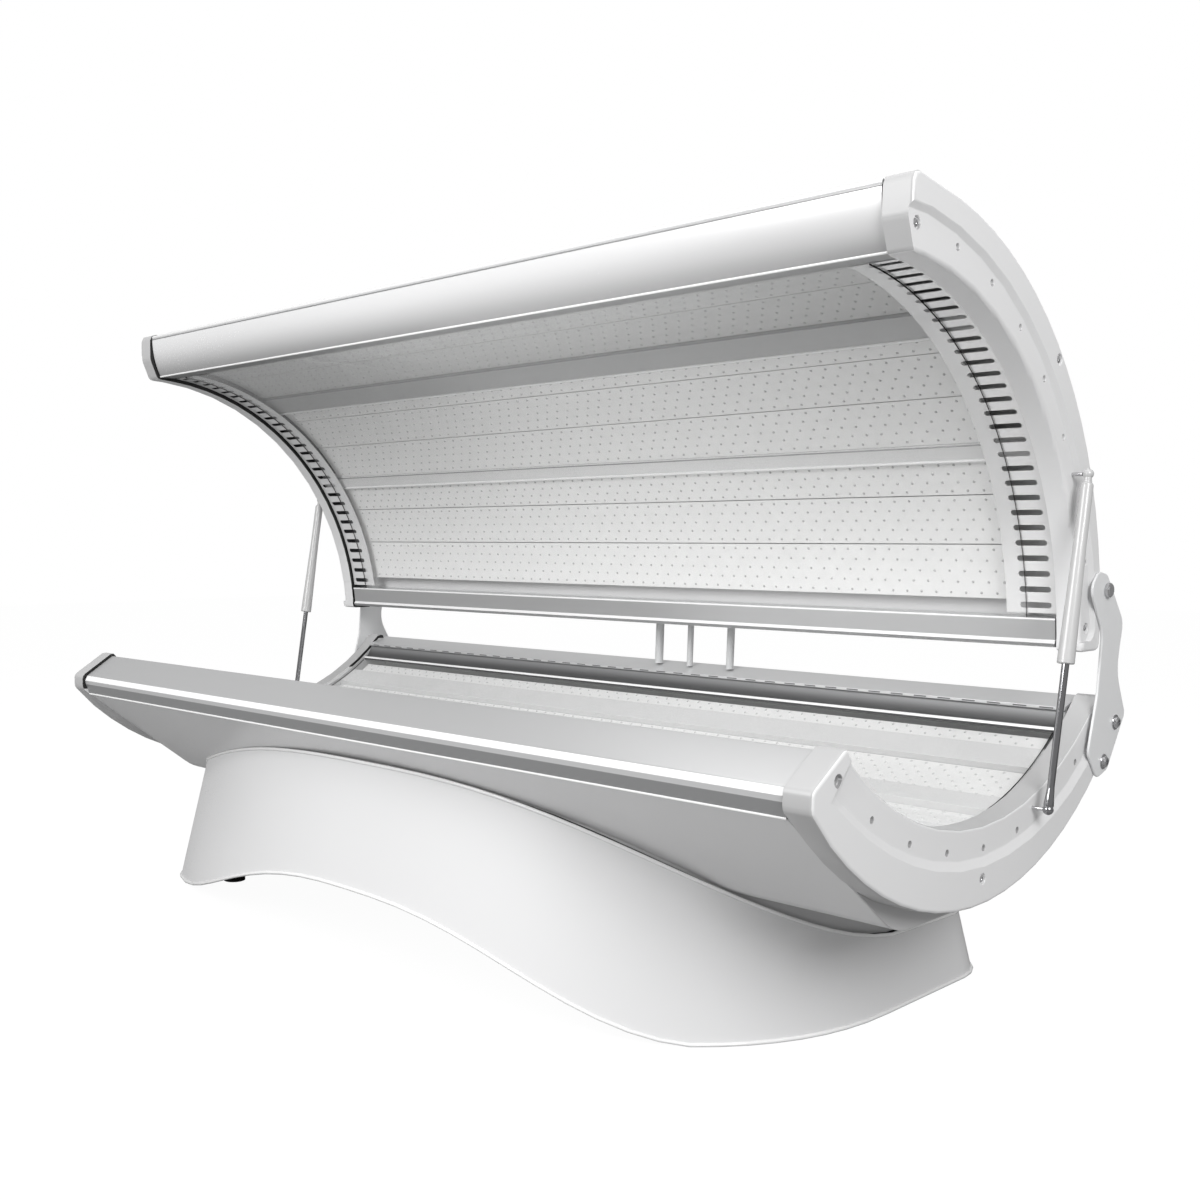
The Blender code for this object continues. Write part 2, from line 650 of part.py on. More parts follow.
def build_fan(label, x, y, floor):
    half = FAN_SIDE / 2
    corners = [(x - half, y - half, 0.006), (x + half, y - half, 0.006), (x + half, y + half, 0.006),
               (x - half, y + half, 0.006)]
    bore = arc((x, y), FAN_BORE_R, 0, 360 - 15, 23)
    housing = place("fan_housing_" + label, slab([rounded(corners, 2), bore], floor, floor + FAN_DEPTH), BLACK)
    bar = box_mesh((FAN_BORE_R * 2 + FAN_SPIDER, FAN_SPIDER * 2, FAN_SPIDER), (x, y, floor + FAN_SPIDER / 2))
    boss_height = FAN_SPIDER * 2
    boss = drum(FAN_HUB_R, boss_height, Matrix.Translation((x, y, floor + boss_height / 2)))
    combine(housing, cutter("fan_bar_" + label, bar), "UNION")
    combine(housing, cutter("fan_boss_" + label, boss), "UNION")
    low = boss_height + GAP
    high = FAN_DEPTH - FAN_SPIDER
    shape = bmesh.new()
    bmesh.ops.create_cone(shape, cap_ends=True, segments=FAN_BLADES * 3, radius1=FAN_HUB_R, radius2=FAN_HUB_R,
                          depth=high - low)
    sides = sorted((f for f in shape.faces if abs(f.normal.z) < 0.5),
                   key=lambda f: atan2(f.calc_center_median().y, f.calc_center_median().x))
    for face in sides[::3]:
        outward = face.normal.copy()
        grown = bmesh.ops.extrude_discrete_faces(shape, faces=[face])["faces"][0]
        spin = Matrix.Rotation(radians(28), 4, outward)
        middle = grown.calc_center_median()
        bmesh.ops.scale(shape, vec=(1, 1, 0.8), verts=grown.verts, space=Matrix.Translation(-middle))
        bmesh.ops.rotate(shape, verts=grown.verts, cent=middle, matrix=spin)
        bmesh.ops.translate(shape, verts=grown.verts, vec=outward * (FAN_BORE_R - FAN_HUB_R - 0.006))
    mesh = bpy.data.meshes.new("rotor")
    shape.to_mesh(mesh)
    shape.free()
    rotor = place("fan_rotor_" + label, settle(mesh), BLACK)
    rotor.location = (x, y, floor + (low + high) / 2)


# Plinth

def skirt_plan():
    """The skirt's floor line, seen from above, right rear corner first and round by the front."""
    points = []
    middle = SKIRT_MIDDLE
    turn = SKIRT_CORNER
    rear = [(0.0, SKIRT_REAR), (SKIRT_HALF - turn, SKIRT_REAR)]
    corner = arc((SKIRT_HALF - turn, SKIRT_REAR - turn), turn, 90, 0, 6)[1:]
    points += rear + corner + [(SKIRT_HALF, middle + 0.06)]
    steps = 20
    for i in range(steps + 1):
        angle = pi / 2 * i / steps
        x = SKIRT_HALF * cos(angle) ** (2 / SKIRT_POWER)
        points.append((x, middle - SKIRT_REACH * sin(angle) ** (2 / SKIRT_POWER)))
    front = middle - SKIRT_REACH
    steps = 12
    for i in range(1, steps + 1):
        x = -SKIRT_LEFT_END * i / steps
        points.append((x, front + SKIRT_LEFT_BOW * x * x))
    slope = degrees(atan2(-2 * SKIRT_LEFT_BOW * SKIRT_LEFT_END, 1))
    x, y = points[-1]
    centre = (x - turn * sin(radians(slope)), y + turn * cos(radians(slope)))
    points += arc(centre, turn, -90 + slope, -180, 6)[1:]
    left, start = points[-1]
    steps = 8
    points += [(left, start + (middle + 0.10 - start) * i / steps) for i in range(1, steps + 1)]
    points += arc((left + turn, SKIRT_REAR - turn), turn, 180, 90, 6)
    return points


def skirt_stations():
    """For each point of the plan: the point, its outward normal and its run from the crest."""
    plan = skirt_plan()
    count = len(plan)
    crest = min(range(count), key=lambda i: abs(plan[i][0]) + plan[i][1])
    runs = [0.0]
    for i in range(1, count):
        runs.append(runs[-1] + hypot(plan[i][0] - plan[i - 1][0], plan[i][1] - plan[i - 1][1]))
    stations = []
    for i, (x, y) in enumerate(plan):
        before, after = plan[i - 1], plan[(i + 1) % count]
        along = Vector((after[0] - before[0], after[1] - before[1])).normalized()
        outward = Vector((along.y, -along.x)) * -1
        stations.append((Vector((x, y)), outward, runs[i] - runs[crest]))
    return stations


def skirt_levels(run):
    """The top and bottom edge at a run from the crest; negative runs lie to the right."""
    crest = SILL_HEIGHT - SKIRT_BELOW_SILL
    wave, arch, ease = (WAVE_LEFT, ARCH_LEFT, EASE_LEFT) if run > 0 else (WAVE_RIGHT, ARCH_RIGHT, EASE_RIGHT)
    share = min(1.0, abs(run) / wave) ** ease
    top = SKIRT_SIDE_TOP + (crest - SKIRT_SIDE_TOP) * cos(pi / 2 * share) ** 2
    share = min(1.0, abs(run) / arch) ** ease
    low = SKIRT_FLOOR_GAP + (SKIRT_ARCH - SKIRT_FLOOR_GAP) * cos(pi / 2 * share) ** 2
    return top, low


def belly_height(y):
    """The height of the belly's outer line at one Y."""
    path = belly_path()
    for (y_from, z_from), (y_to, z_to) in zip(path, path[1:]):
        if y_from <= y <= y_to:
            return z_from + (z_to - z_from) * (y - y_from) / (y_to - y_from)
    return path[0][1]


def build_skirt():
    stations = skirt_stations()
    rows = 4
    shape = bmesh.new()
    grid = []
    for point, outward, run in stations:
        top, low = skirt_levels(run)
        top = min(top, belly_height(point.y - outward.y * SKIRT_FLARE * top) - SKIRT_BELLY_GAP)
        column = []
        for j in range(rows + 1):
            height = low + (top - low) * j / rows
            x, y = point - outward * (SKIRT_FLARE * height)
            column.append(shape.verts.new((x, y, height)))
        grid.append(column)
    for i, column in enumerate(grid):
        following = grid[(i + 1) % len(grid)]
        for j in range(rows):
            shape.faces.new((column[j], column[j + 1], following[j + 1], following[j]))
    bmesh.ops.recalc_face_normals(shape, faces=shape.faces)
    mesh = bpy.data.meshes.new("skirt")
    shape.to_mesh(mesh)
    shape.free()
    skirt = place("plinth_skirt", settle(mesh), SATIN_SKIN)
    wall = skirt.modifiers.new("wall", "SOLIDIFY")
    wall.thickness = SKIRT_SHEET
    wall.offset = -1


def skirt_inside(x, height):
    """The front Y of the skirt's inner face at a place along X, at one height."""
    depth = SKIRT_FLARE * height + SKIRT_SHEET * 1.05
    line = [point - outward * depth for point, outward, run in skirt_stations()]
    best = None
    for a, b in zip(line, line[1:] + line[:1]):
        if (a.x - x) * (b.x - x) <= 0 and a.x != b.x:
            y = a.y + (b.y - a.y) * (x - a.x) / (b.x - a.x)
            best = y if best is None else min(best, y)
    return best


def bearer_front(side):
    """The front end of a bearer, just behind the skirt."""
    top = FLOOR_TO_FRAME + FRAME_HEIGHT
    places = [side * BEARER_X + BEARER_WIDTH * share for share in (-0.5, 0.0, 0.5)]
    return max(skirt_inside(x, top) for x in places) + GAP


def build_frame():
    flat = [y for y, z in belly_path() if z < BELLY_Z + 0.001]
    inner, outer = BEARER_X - BEARER_WIDTH / 2, BEARER_X + BEARER_WIDTH / 2
    left_end, right_end = bearer_front(-1), bearer_front(1)
    front = max(min(flat), max(left_end, right_end) + FRAME_BAR / 2)
    rear = max(flat)
    outline = [(-outer, left_end), (-inner, left_end), (-inner, front), (inner, front), (inner, right_end),
               (outer, right_end), (outer, BEARER_REAR), (inner, BEARER_REAR), (inner, rear), (-inner, rear),
               (-inner, BEARER_REAR), (-outer, BEARER_REAR)]
    window = [(-inner, front + FRAME_BAR), (inner, front + FRAME_BAR), (inner, rear - FRAME_BAR),
              (-inner, rear - FRAME_BAR)]
    ceiling = FLOOR_TO_FRAME + FRAME_HEIGHT - FRAME_WALL
    bars = slab([outline, window], FLOOR_TO_FRAME, FLOOR_TO_FRAME + FRAME_HEIGHT)
    frame = place("base_frame", bars, DARK_STEEL)
    hollow = [inset(outline, FRAME_WALL), inset(window, -FRAME_WALL)]
    channel = slab(hollow, FLOOR_TO_FRAME - FRAME_WALL, ceiling)
    combine(frame, cutter("frame_channel", channel), "DIFFERENCE")
    top = ceiling - GAP
    profile = [(0, top), (FOOT_STEM_R, top), (FOOT_STEM_R, FOOT_DISC), (FOOT_R * 0.7, FOOT_DISC),
               (FOOT_R, FOOT_DISC * 0.6), (FOOT_R, 0), (0, 0)]
    for label, side in SIDES:
        front_end = left_end if side < 0 else right_end
        for end, y in (("front", front_end + FOOT_IN), ("rear", BEARER_REAR - FOOT_IN / 2)):
            foot = turned("foot_%s_%s" % (end, label), profile, BLACK, sides=16)
            foot.location = (side * BEARER_X, y, 0)


# Canopy pieces

def build_canopy(carrier):
    _, _, flange = canopy_rail_points()
    shell_end = degrees(asin((flange + GAP - SHELL_CENTRE[1]) / SHELL_R))
    shell = band(SHELL_CENTRE, SHELL_R - SKIN, SHELL_R, shell_end, shell_start(), 30)
    place("canopy_shell", prism([shell], -HALF_BODY, HALF_BODY), SATIN_SKIN, carrier)
    place("canopy_nose", prism(nose_loops(), -HALF_BODY, HALF_BODY), BRIGHT_RAIL, carrier)
    place("canopy_rear_rail", prism(canopy_rail_loops(), -HALF_BODY, HALF_BODY), BRIGHT_RAIL, carrier)
    for label, side in SIDES:
        end_cap("canopy_cap_" + label, canopy_cap_outline, canopy_field_outline(), side, WHITE_CAP, carrier)
        build_canopy_plate(label, side, carrier)
        build_vent_strip(label, side, carrier)
    build_canopy_lamps(carrier)


def build_canopy_plate(label, side, carrier):
    plate_x = side * (HALF_BODY + GAP)
    middle = plate_x + side * END_PLATE / 2
    plate = place("canopy_end_plate_" + label,
                  prism([inset(canopy_cap_outline(0), CAP_PROUD)], plate_x, plate_x + side * END_PLATE),
                  DARK_STEEL, carrier)
    at_hinge = Matrix.Translation((middle, *HINGE)) @ TURN_TO_X
    root = shift(HINGE, -EAR_R * 2, 0)
    ear = prism([rounded([(*shift(root, 0, -EAR_R), 0), (*shift(HINGE, EAR_R, -EAR_R), EAR_R * 0.98),
                          (*shift(HINGE, EAR_R, EAR_R), EAR_R * 0.98), (*shift(root, 0, EAR_R), 0)], 6)],
                plate_x, plate_x + side * END_PLATE)
    combine(plate, cutter("ear_" + label, ear), "UNION")
    bore = drum(PIVOT_R + 2 * GAP, END_PLATE * 3, at_hinge, 18)
    combine(plate, cutter("ear_bore_" + label, bore), "DIFFERENCE")


def build_vent_strip(label, side, carrier):
    first = FIRST_SLOT - SLOT_PITCH / 2
    last = first + SLOT_PITCH * SLOT_COUNT
    outline = band(CANOPY, CANOPY_R, CANOPY_R + STRIP_SHEET, first, last, SLOT_COUNT)
    strip = prism([outline], side * (HALF_BODY - STRIP_WIDTH), side * HALF_BODY)
    made = place("slotted_strip_" + label, strip, POLISHED, carrier)
    half = SLOT_LENGTH / 2 - SLOT_WIDTH / 2
    capsule = arc((half, 0), SLOT_WIDTH / 2, -90, 90, 3) + arc((-half, 0), SLOT_WIDTH / 2, 90, 270, 3)
    slots = bmesh.new()
    for i in range(SLOT_COUNT):
        one = flat_curve([capsule], STRIP_SHEET * 4)
        turn = Matrix.Rotation(radians(FIRST_SLOT + SLOT_PITCH * i - 90), 4, "X")
        x = side * (HALF_BODY - SLOT_MARGIN - SLOT_LENGTH / 2)
        outwards = Matrix.Translation((0, 0, CANOPY_R + STRIP_SHEET / 2))
        one.transform(Matrix.Translation((x, *CANOPY)) @ turn @ outwards)
        slots.from_mesh(one)
        bpy.data.meshes.remove(one)
    mesh = bpy.data.meshes.new("slots")
    slots.to_mesh(mesh)
    slots.free()
    combine(made, cutter("slots_" + label, mesh), "DIFFERENCE")


def build_canopy_lamps(carrier):
    cover_r = CANOPY_R - GAP - COVER_SHEET
    top, _, _ = canopy_rail_points()
    low = degrees(asin((top[1] + 3 * GAP - CANOPY[1]) / cover_r))
    high = degrees(acos((NOSE_REAR + GAP - CANOPY[0]) / (cover_r + COVER_SHEET)))
    half = HALF_BODY - CANOPY_COVER_IN
    place("canopy_acrylic", prism([band(CANOPY, cover_r, cover_r + COVER_SHEET, low, high, 28)], -half, half),
          CLEAR, carrier)
    board_r = CANOPY_R + BOARD_SETBACK
    half = HALF_BODY - CANOPY_BOARD_IN
    margin = degrees(GAP / board_r)
    for name, (start, end) in zip(("lower", "middle", "upper"), CANOPY_ZONES):
        board = band(CANOPY, board_r, board_r + BOARD, start + margin, end - margin, 9)
        place("canopy_led_panel_" + name, prism([board], -half, half), LAMP_WHITE, carrier)
    for name, before, after in (("lower", 0, 1), ("upper", 1, 2)):
        hat = hat_outline(CANOPY, board_r - 0.006, board_r + BOARD + GAP, CANOPY_ZONES[before][1],
                          CANOPY_ZONES[after][0])
        place("canopy_divider_" + name, prism([hat], -HALF_BODY, HALF_BODY), WHITE_SHEET, carrier)


# Hinges, struts and conduits

def build_hinge(label, side):
    x_in = CAP_OUT + GAP
    x_out = x_in + LINK_PLATE
    upper_front = [(*shift(HINGE, -0.036, 0.034), 0.022), (*shift(HINGE, -0.066, 0.004), 0.022),
                   (*shift(HINGE, -0.008, -0.075), 0.050)]
    lower = [(*shift(REAR_TOP, -0.058, 0.010), 0.050), (*shift(REAR_TOP, -0.087, -0.092), 0.020),
             (*shift(REAR_TOP, -0.045, -0.142), 0.020), (*shift(REAR_TOP, -0.002, -0.130), 0.020),
             (*shift(REAR_TOP, 0.066, -0.033), 0.015)]
    upper_rear = [(*shift(HINGE, 0.060, -0.146), 0.080), (*shift(HINGE, 0.079, -0.058), 0.030),
                  (*shift(HINGE, 0.000, 0.028), 0.020)]
    outline = rounded(upper_front + lower + upper_rear, 5)
    hole = arc(HINGE, PIVOT_R + 2 * GAP, 0, 340, 17)
    place("link_plate_" + label, prism([outline, hole], side * x_in, side * x_out), WHITE_SHEET)
    ear_in, ear_out = HALF_BODY + GAP, HALF_BODY + GAP + END_PLATE
    nut = ear_in - GAP - PIVOT_HEAD
    head = x_out + GAP + PIVOT_HEAD
    profile = [(0, head), (PIVOT_HEAD_R * 0.8, head), (PIVOT_HEAD_R, head - PIVOT_HEAD * 0.3),
               (PIVOT_HEAD_R, x_out + GAP), (PIVOT_R, x_out + GAP), (PIVOT_R, x_in - GAP),
               (PIVOT_SHOULDER_R, x_in - GAP), (PIVOT_SHOULDER_R, ear_out + GAP), (PIVOT_R, ear_out + GAP),
               (PIVOT_R, ear_in - GAP), (PIVOT_HEAD_R, ear_in - GAP), (PIVOT_HEAD_R, nut), (0, nut)]
    bolt = turned("pivot_bolt_" + label, profile, SATIN_STEEL, sides=14)
    bolt.location = (0, *HINGE)
    bolt.rotation_euler = (0, side * pi / 2, 0)


def ball_profile(radius, start, end, height):
    """Quarter-like stretch of a ball's outline about the axis, from one latitude to another."""
    return [(radius * cos(radians(a)), height + radius * sin(radians(a)))
            for a in (start + (end - start) * i / 4 for i in range(5))]


def build_strut(label, side, canopy_hinge):
    root = FIELD_X + GAP
    run = (STRUT_TOP[0] - STRUT_LOW[0], STRUT_TOP[1] - STRUT_LOW[1])
    length = hypot(*run)
    tilt = -atan2(run[0], run[1])
    neck = asin(STUD_NECK_R / BALL_R)
    ball = ball_profile(BALL_R, 90, -90 + degrees(neck), STRUT_X)
    ball[0] = (0, STRUT_X + BALL_R)
    stud_foot = [(STUD_NECK_R, root + STUD_FLANGE), (STUD_FLANGE_R, root + STUD_FLANGE), (STUD_FLANGE_R, root),
                 (0, root)]
    low_stud = turned("lower_ball_stud_" + label, ball + stud_foot, SATIN_STEEL, sides=12)
    low_stud.location = (0, *STRUT_LOW)
    low_stud.rotation_euler = (0, side * pi / 2, 0)
    tip = STRUT_X - SOCKET_R - GAP
    top_stud = turned("upper_ball_stud_" + label, [(0, tip), (STUD_NECK_R, tip)] + stud_foot, SATIN_STEEL,
                      canopy_hinge, sides=12)
    top_stud.location = (0, STRUT_TOP[0] - HINGE[0], STRUT_TOP[1] - HINGE[1])
    top_stud.rotation_euler = (0, side * pi / 2, 0)

    seat_at = Matrix.Translation((side * (FIELD_X + CAP_RECESS + GAP / 2), *STRUT_TOP)) @ TURN_TO_X
    spot = drum(STUD_SEAT_R, 2 * CAP_RECESS, seat_at, 16)
    combine(bpy.data.objects["canopy_cap_" + label], cutter("stud_seat_" + label, spot), "DIFFERENCE")

    rod_top = length - TUBE_LENGTH + ROD_INSIDE
    socket_neck = degrees(acos(ROD_R / SOCKET_R))
    socket = ball_profile(SOCKET_R, socket_neck, -90, 0.0)
    socket[-1] = (0, -SOCKET_R)
    rod = turned("strut_rod_" + label, [(0, rod_top), (ROD_R, rod_top)] + socket, CHROME, sides=16)
    rod.location = (side * STRUT_X, *STRUT_LOW)
    rod.rotation_euler = (tilt, 0, 0)
    seat_depth = SOCKET_R + BALL_R + 2 * GAP
    seat_middle = side * (BALL_R + 2 * GAP - seat_depth / 2)
    seat = drum(BALL_R + GAP, seat_depth, Matrix.Translation((seat_middle, 0, 0)) @ TURN_TO_X, 20)
    seat.transform(Matrix.Translation((side * STRUT_X, *STRUT_LOW)))
    combine(rod, cutter("socket_" + label, seat), "DIFFERENCE")

    bore = ROD_R + 2 * GAP
    bore_top = length - 0.030
    tube_low = length - TUBE_LENGTH
    top_ball = ball_profile(SOCKET_R, 90, -45, length)
    top_ball[0] = (0, length + SOCKET_R)
    profile = top_ball + [(TUBE_TOP_R * 0.6, length - 0.014), (TUBE_TOP_R, length - 0.019),
                          (TUBE_TOP_R, length - 0.12), (TUBE_END_R, tube_low + 0.01),
                          (TUBE_END_R, tube_low), (bore, tube_low), (bore, bore_top), (0, bore_top)]
    tube = turned("strut_tube_" + label, profile, WHITE_CAP, sides=14)
    tube.location = rod.location
    tube.rotation_euler = rod.rotation_euler


def build_conduits():
    for i, (x, diameter) in enumerate(CONDUITS):
        radius = diameter / 2
        entry = polar(SHELL_CENTRE, SHELL_R + 2 * GAP, CONDUIT_ENTRY)
        centre = polar(entry, radius - CONDUIT_BEND, CONDUIT_TURN)
        top_y = centre[0] + CONDUIT_BEND
        low_y = top_y - CONDUIT_LEAN
        low_z = REAR_TOP[1] - RAIL_FALL * (REAR_TOP[0] - low_y - radius) + GAP
        halfway = ((low_y + top_y) / 2, (low_z + centre[1]) / 2)
        route = [(low_y, low_z), halfway] + arc(centre, CONDUIT_BEND, 0, CONDUIT_TURN, 7)
        curve = bpy.data.curves.new("conduit", "CURVE")
        curve.dimensions = "3D"
        curve.bevel_depth = radius
        curve.bevel_resolution = 3
        curve.use_fill_caps = True
        spline = curve.splines.new("POLY")
        spline.points.add(len(route) - 1)
        for point, (y, z) in zip(spline.points, route):
            point.co = (x, y, z, 1)
        curve.materials.append(GREY_HOSE)
        made = bpy.data.objects.new("conduit_%d" % (i + 1), curve)
        PARTS.objects.link(made)


# Scene

for old in list(bpy.data.objects):
    bpy.data.objects.remove(old)
PARTS = bpy.data.collections.new("light_therapy_bed")
CUTTERS = bpy.data.collections.new("cutters")
bpy.context.scene.collection.children.link(PARTS)
bpy.context.scene.collection.children.link(CUTTERS)

WHITE_CAP = material("white_moulding", (0.83, 0.83, 0.84), 0.35, 0.0)
SATIN_SKIN = material("satin_skin", (0.76, 0.77, 0.78), 0.40, 0.0)
BRIGHT_RAIL = material("bright_extrusion", (0.78, 0.79, 0.80), 0.25, 0.8)
POLISHED = material("polished_strip", (0.80, 0.80, 0.80), 0.12, 1.0)
LAMP_WHITE = material("lamp_board", (0.80, 0.80, 0.79), 0.45, 0.0)
WHITE_SHEET = material("white_sheet", (0.82, 0.82, 0.82), 0.35, 0.0)
CLEAR = material("clear_acrylic", (0.92, 0.94, 0.95), 0.05, 0.0)
SATIN_STEEL = material("satin_steel", (0.72, 0.72, 0.73), 0.30, 0.9)
CHROME = material("chrome", (0.82, 0.82, 0.83), 0.08, 1.0)
DARK_STEEL = material("dark_steel", (0.06, 0.06, 0.065), 0.50, 0.5)
BLACK = material("black_plastic", (0.03, 0.03, 0.03), 0.55, 0.0)
GREY_HOSE = material("grey_hose", (0.62, 0.62, 0.63), 0.50, 0.0)

canopy_hinge = empty_at("canopy_hinge", *HINGE)
build_base_shell()
build_base_lamps()
build_belly_machines()
build_skirt()
build_frame()
build_canopy(canopy_hinge)
for side_name, side_sign in SIDES:
    build_hinge(side_name, side_sign)
    build_strut(side_name, side_sign, canopy_hinge)
build_conduits()
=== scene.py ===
"""Light therapy bed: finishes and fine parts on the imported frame.

Metres, +Z up. +X runs along the bed, the open front faces -Y. Most parts are sections in the Y-Z plane,
set out round two centres: that of the lying trough and that of the canopy's lamp arc.
"""
import json
from math import atan2, cos, degrees, pi, radians, sin

import bmesh
import bpy
from bpy.props import FloatProperty, FloatVectorProperty, PointerProperty
from mathutils import Matrix, Vector
from mathutils.bvhtree import BVHTree


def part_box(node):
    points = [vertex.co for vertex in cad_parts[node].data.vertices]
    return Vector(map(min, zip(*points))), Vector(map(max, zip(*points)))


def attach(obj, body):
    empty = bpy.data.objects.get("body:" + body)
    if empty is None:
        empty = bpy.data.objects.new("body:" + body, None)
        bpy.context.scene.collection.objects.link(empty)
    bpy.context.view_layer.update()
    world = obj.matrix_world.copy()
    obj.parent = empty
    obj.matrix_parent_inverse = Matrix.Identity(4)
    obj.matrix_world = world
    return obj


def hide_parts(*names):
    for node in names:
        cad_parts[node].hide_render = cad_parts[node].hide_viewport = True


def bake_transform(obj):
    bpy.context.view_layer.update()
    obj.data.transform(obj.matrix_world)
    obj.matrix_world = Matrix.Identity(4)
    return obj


bl_info = {
    "name": "Light therapy bed",
    "version": (1, 0, 0),
    "blender": (4, 5, 0),
    "location": "3D View > Sidebar > Bed",
    "description": "Dresses the frame of a light therapy bed with its finishes and fine parts",
    "category": "Object",
}

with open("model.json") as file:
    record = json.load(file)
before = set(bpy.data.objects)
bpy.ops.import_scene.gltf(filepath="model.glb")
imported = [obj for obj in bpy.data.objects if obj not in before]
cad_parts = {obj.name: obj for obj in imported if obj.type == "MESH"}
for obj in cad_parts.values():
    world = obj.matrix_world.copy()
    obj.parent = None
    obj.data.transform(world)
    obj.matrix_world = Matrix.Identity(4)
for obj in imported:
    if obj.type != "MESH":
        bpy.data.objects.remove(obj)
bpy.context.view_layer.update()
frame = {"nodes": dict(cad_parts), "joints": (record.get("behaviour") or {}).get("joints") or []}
NODES = frame["nodes"]
JOINTS = {joint["name"]: joint for joint in frame["joints"]}
SIDES = (("left", -1), ("right", 1))


def polar(centre, radius, angle):
    """A (y, z) point round a centre, the angle in degrees from +Y."""
    return (centre[0] + radius * cos(radians(angle)), centre[1] + radius * sin(radians(angle)))


# The canopy's centre lies before and under the hinge, the trough's centre at an angle from the lower ball studs
PIVOT_BEHIND = 0.687
PIVOT_OVER = 0.130
STUD_R = 0.6105
STUD_ANGLE = -73.6
HINGE = JOINTS["canopy_hinge"]["pos_m"][1:]
CANOPY = (HINGE[0] - PIVOT_BEHIND, HINGE[1] - PIVOT_OVER)
STRUT_X, *STRUT_LOW = JOINTS["strut_pivot_right"]["pos_m"]
TROUGH = polar(STRUT_LOW, STUD_R, 180 + STUD_ANGLE)
CANOPY_R = 0.621
TROUGH_R = 0.5915
HALF_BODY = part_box("lower_shell")[1].x
CAP_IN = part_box("lower_cap_right")[0].x
CAP_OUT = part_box("lower_cap_right")[1].x
REAR_Y, REAR_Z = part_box("base_rear_rail")[1].yz

# Heights at which the painted shade and highlight bands of the front and rear rails begin, over the front rail's
# foot and under the rear top
FRONT_BANDS = (0.0255, 0.0342, 0.0452)
REAR_BANDS = (0.0240, 0.0532, 0.0575)


# Sizes and colours

def length(name, note, value):
    return FloatProperty(name=name, description=note, default=value, unit="LENGTH")


def paint(name, note, value):
    return FloatVectorProperty(name=name, description=note, default=value, subtype="COLOR", size=3)


class BedSizes(bpy.types.PropertyGroup):
    """Sizes of the fine parts."""
    lamp_pitch: length("Lamp pitch", "Distance of the lamps along a row", 0.030)
    lamp_radius: length("Lamp radius", "Radius of one lamp's lens at its foot", 0.0026)
    lamp_height: length("Lamp height", "Height of one lamp over its board", 0.0018)
    canopy_row_pitch: length("Canopy row pitch", "Distance of the canopy's lamp rows", 0.0195)
    base_row_pitch: length("Base row pitch", "Distance of the base's lamp rows", 0.0165)
    board_seam: length("Board seam", "Gap between neighbouring lamp boards", 0.0022)
    dimple_radius: length("Dimple radius", "Radius of the small holes in the end caps", 0.0052)
    bore_radius: length("Counterbore radius", "Radius of the screw holes in the end caps", 0.0092)
    screw_radius: length("Screw head radius", "Radius of the end caps' screw heads", 0.0062)
    sheet_edge: length("Sheet edge", "Rounding of sheet and extrusion edges", 0.0008)
    slot_pitch: length("Slot pitch", "Distance of the slots under the rear rail's lip", 0.050)


class BedColours(bpy.types.PropertyGroup):
    """Colours of the finishes."""
    moulding: paint("Moulding", "White of the moulded end caps", (0.76, 0.76, 0.764))
    skin: paint("Skin", "Grey-white of the body skins and the plinth", (0.71, 0.71, 0.714))
    rail: paint("Rail", "Grey of the bright extrusions", (0.64, 0.642, 0.646))
    strip: paint("Strip", "Grey of the polished vent strips", (0.92, 0.92, 0.922))
    board: paint("Board", "White of the lamp boards", (0.87, 0.87, 0.865))
    lamp: paint("Lamp", "Grey of the unlit lamps", (0.56, 0.56, 0.56))


# Finishes

FINISHES = {}
COAT_ROUGHNESS = 0.08
BRUSHED = (0.05, 1, 1)


def new_group(name, inputs, outputs):
    """An empty shader node group with its sockets, given as pairs of a name and a kind."""
    group = bpy.data.node_groups.new(name, "ShaderNodeTree")
    for way, sockets in (("INPUT", inputs), ("OUTPUT", outputs)):
        for label, kind in sockets:
            group.interface.new_socket(name=label, in_out=way, socket_type="NodeSocket" + kind)
    return group


def group_node(nodes, group, values):
    """A node group placed in a material with its own values."""
    node = nodes.new("ShaderNodeGroup")
    node.node_tree = group
    for label, value in values.items():
        node.inputs[label].default_value = value
    return node


def math_node(tree, operation, *values):
    """The output of a Math node; each input is a number or another node's output."""
    node = tree.nodes.new("ShaderNodeMath")
    node.operation = operation
    for socket, value in zip(node.inputs, values):
        if isinstance(value, bpy.types.NodeSocket):
            tree.links.new(value, socket)
        else:
            socket.default_value = value
    return node.outputs["Value"]


def mix_surface(tree, share, first, second):
    """Makes a material's surface a mix of two shaders."""
    mix = tree.nodes.new("ShaderNodeMixShader")
    for output, socket in zip((share, first, second), mix.inputs):
        tree.links.new(output, socket)
    tree.links.new(mix.outputs["Shader"], tree.nodes["Material Output"].inputs["Surface"])


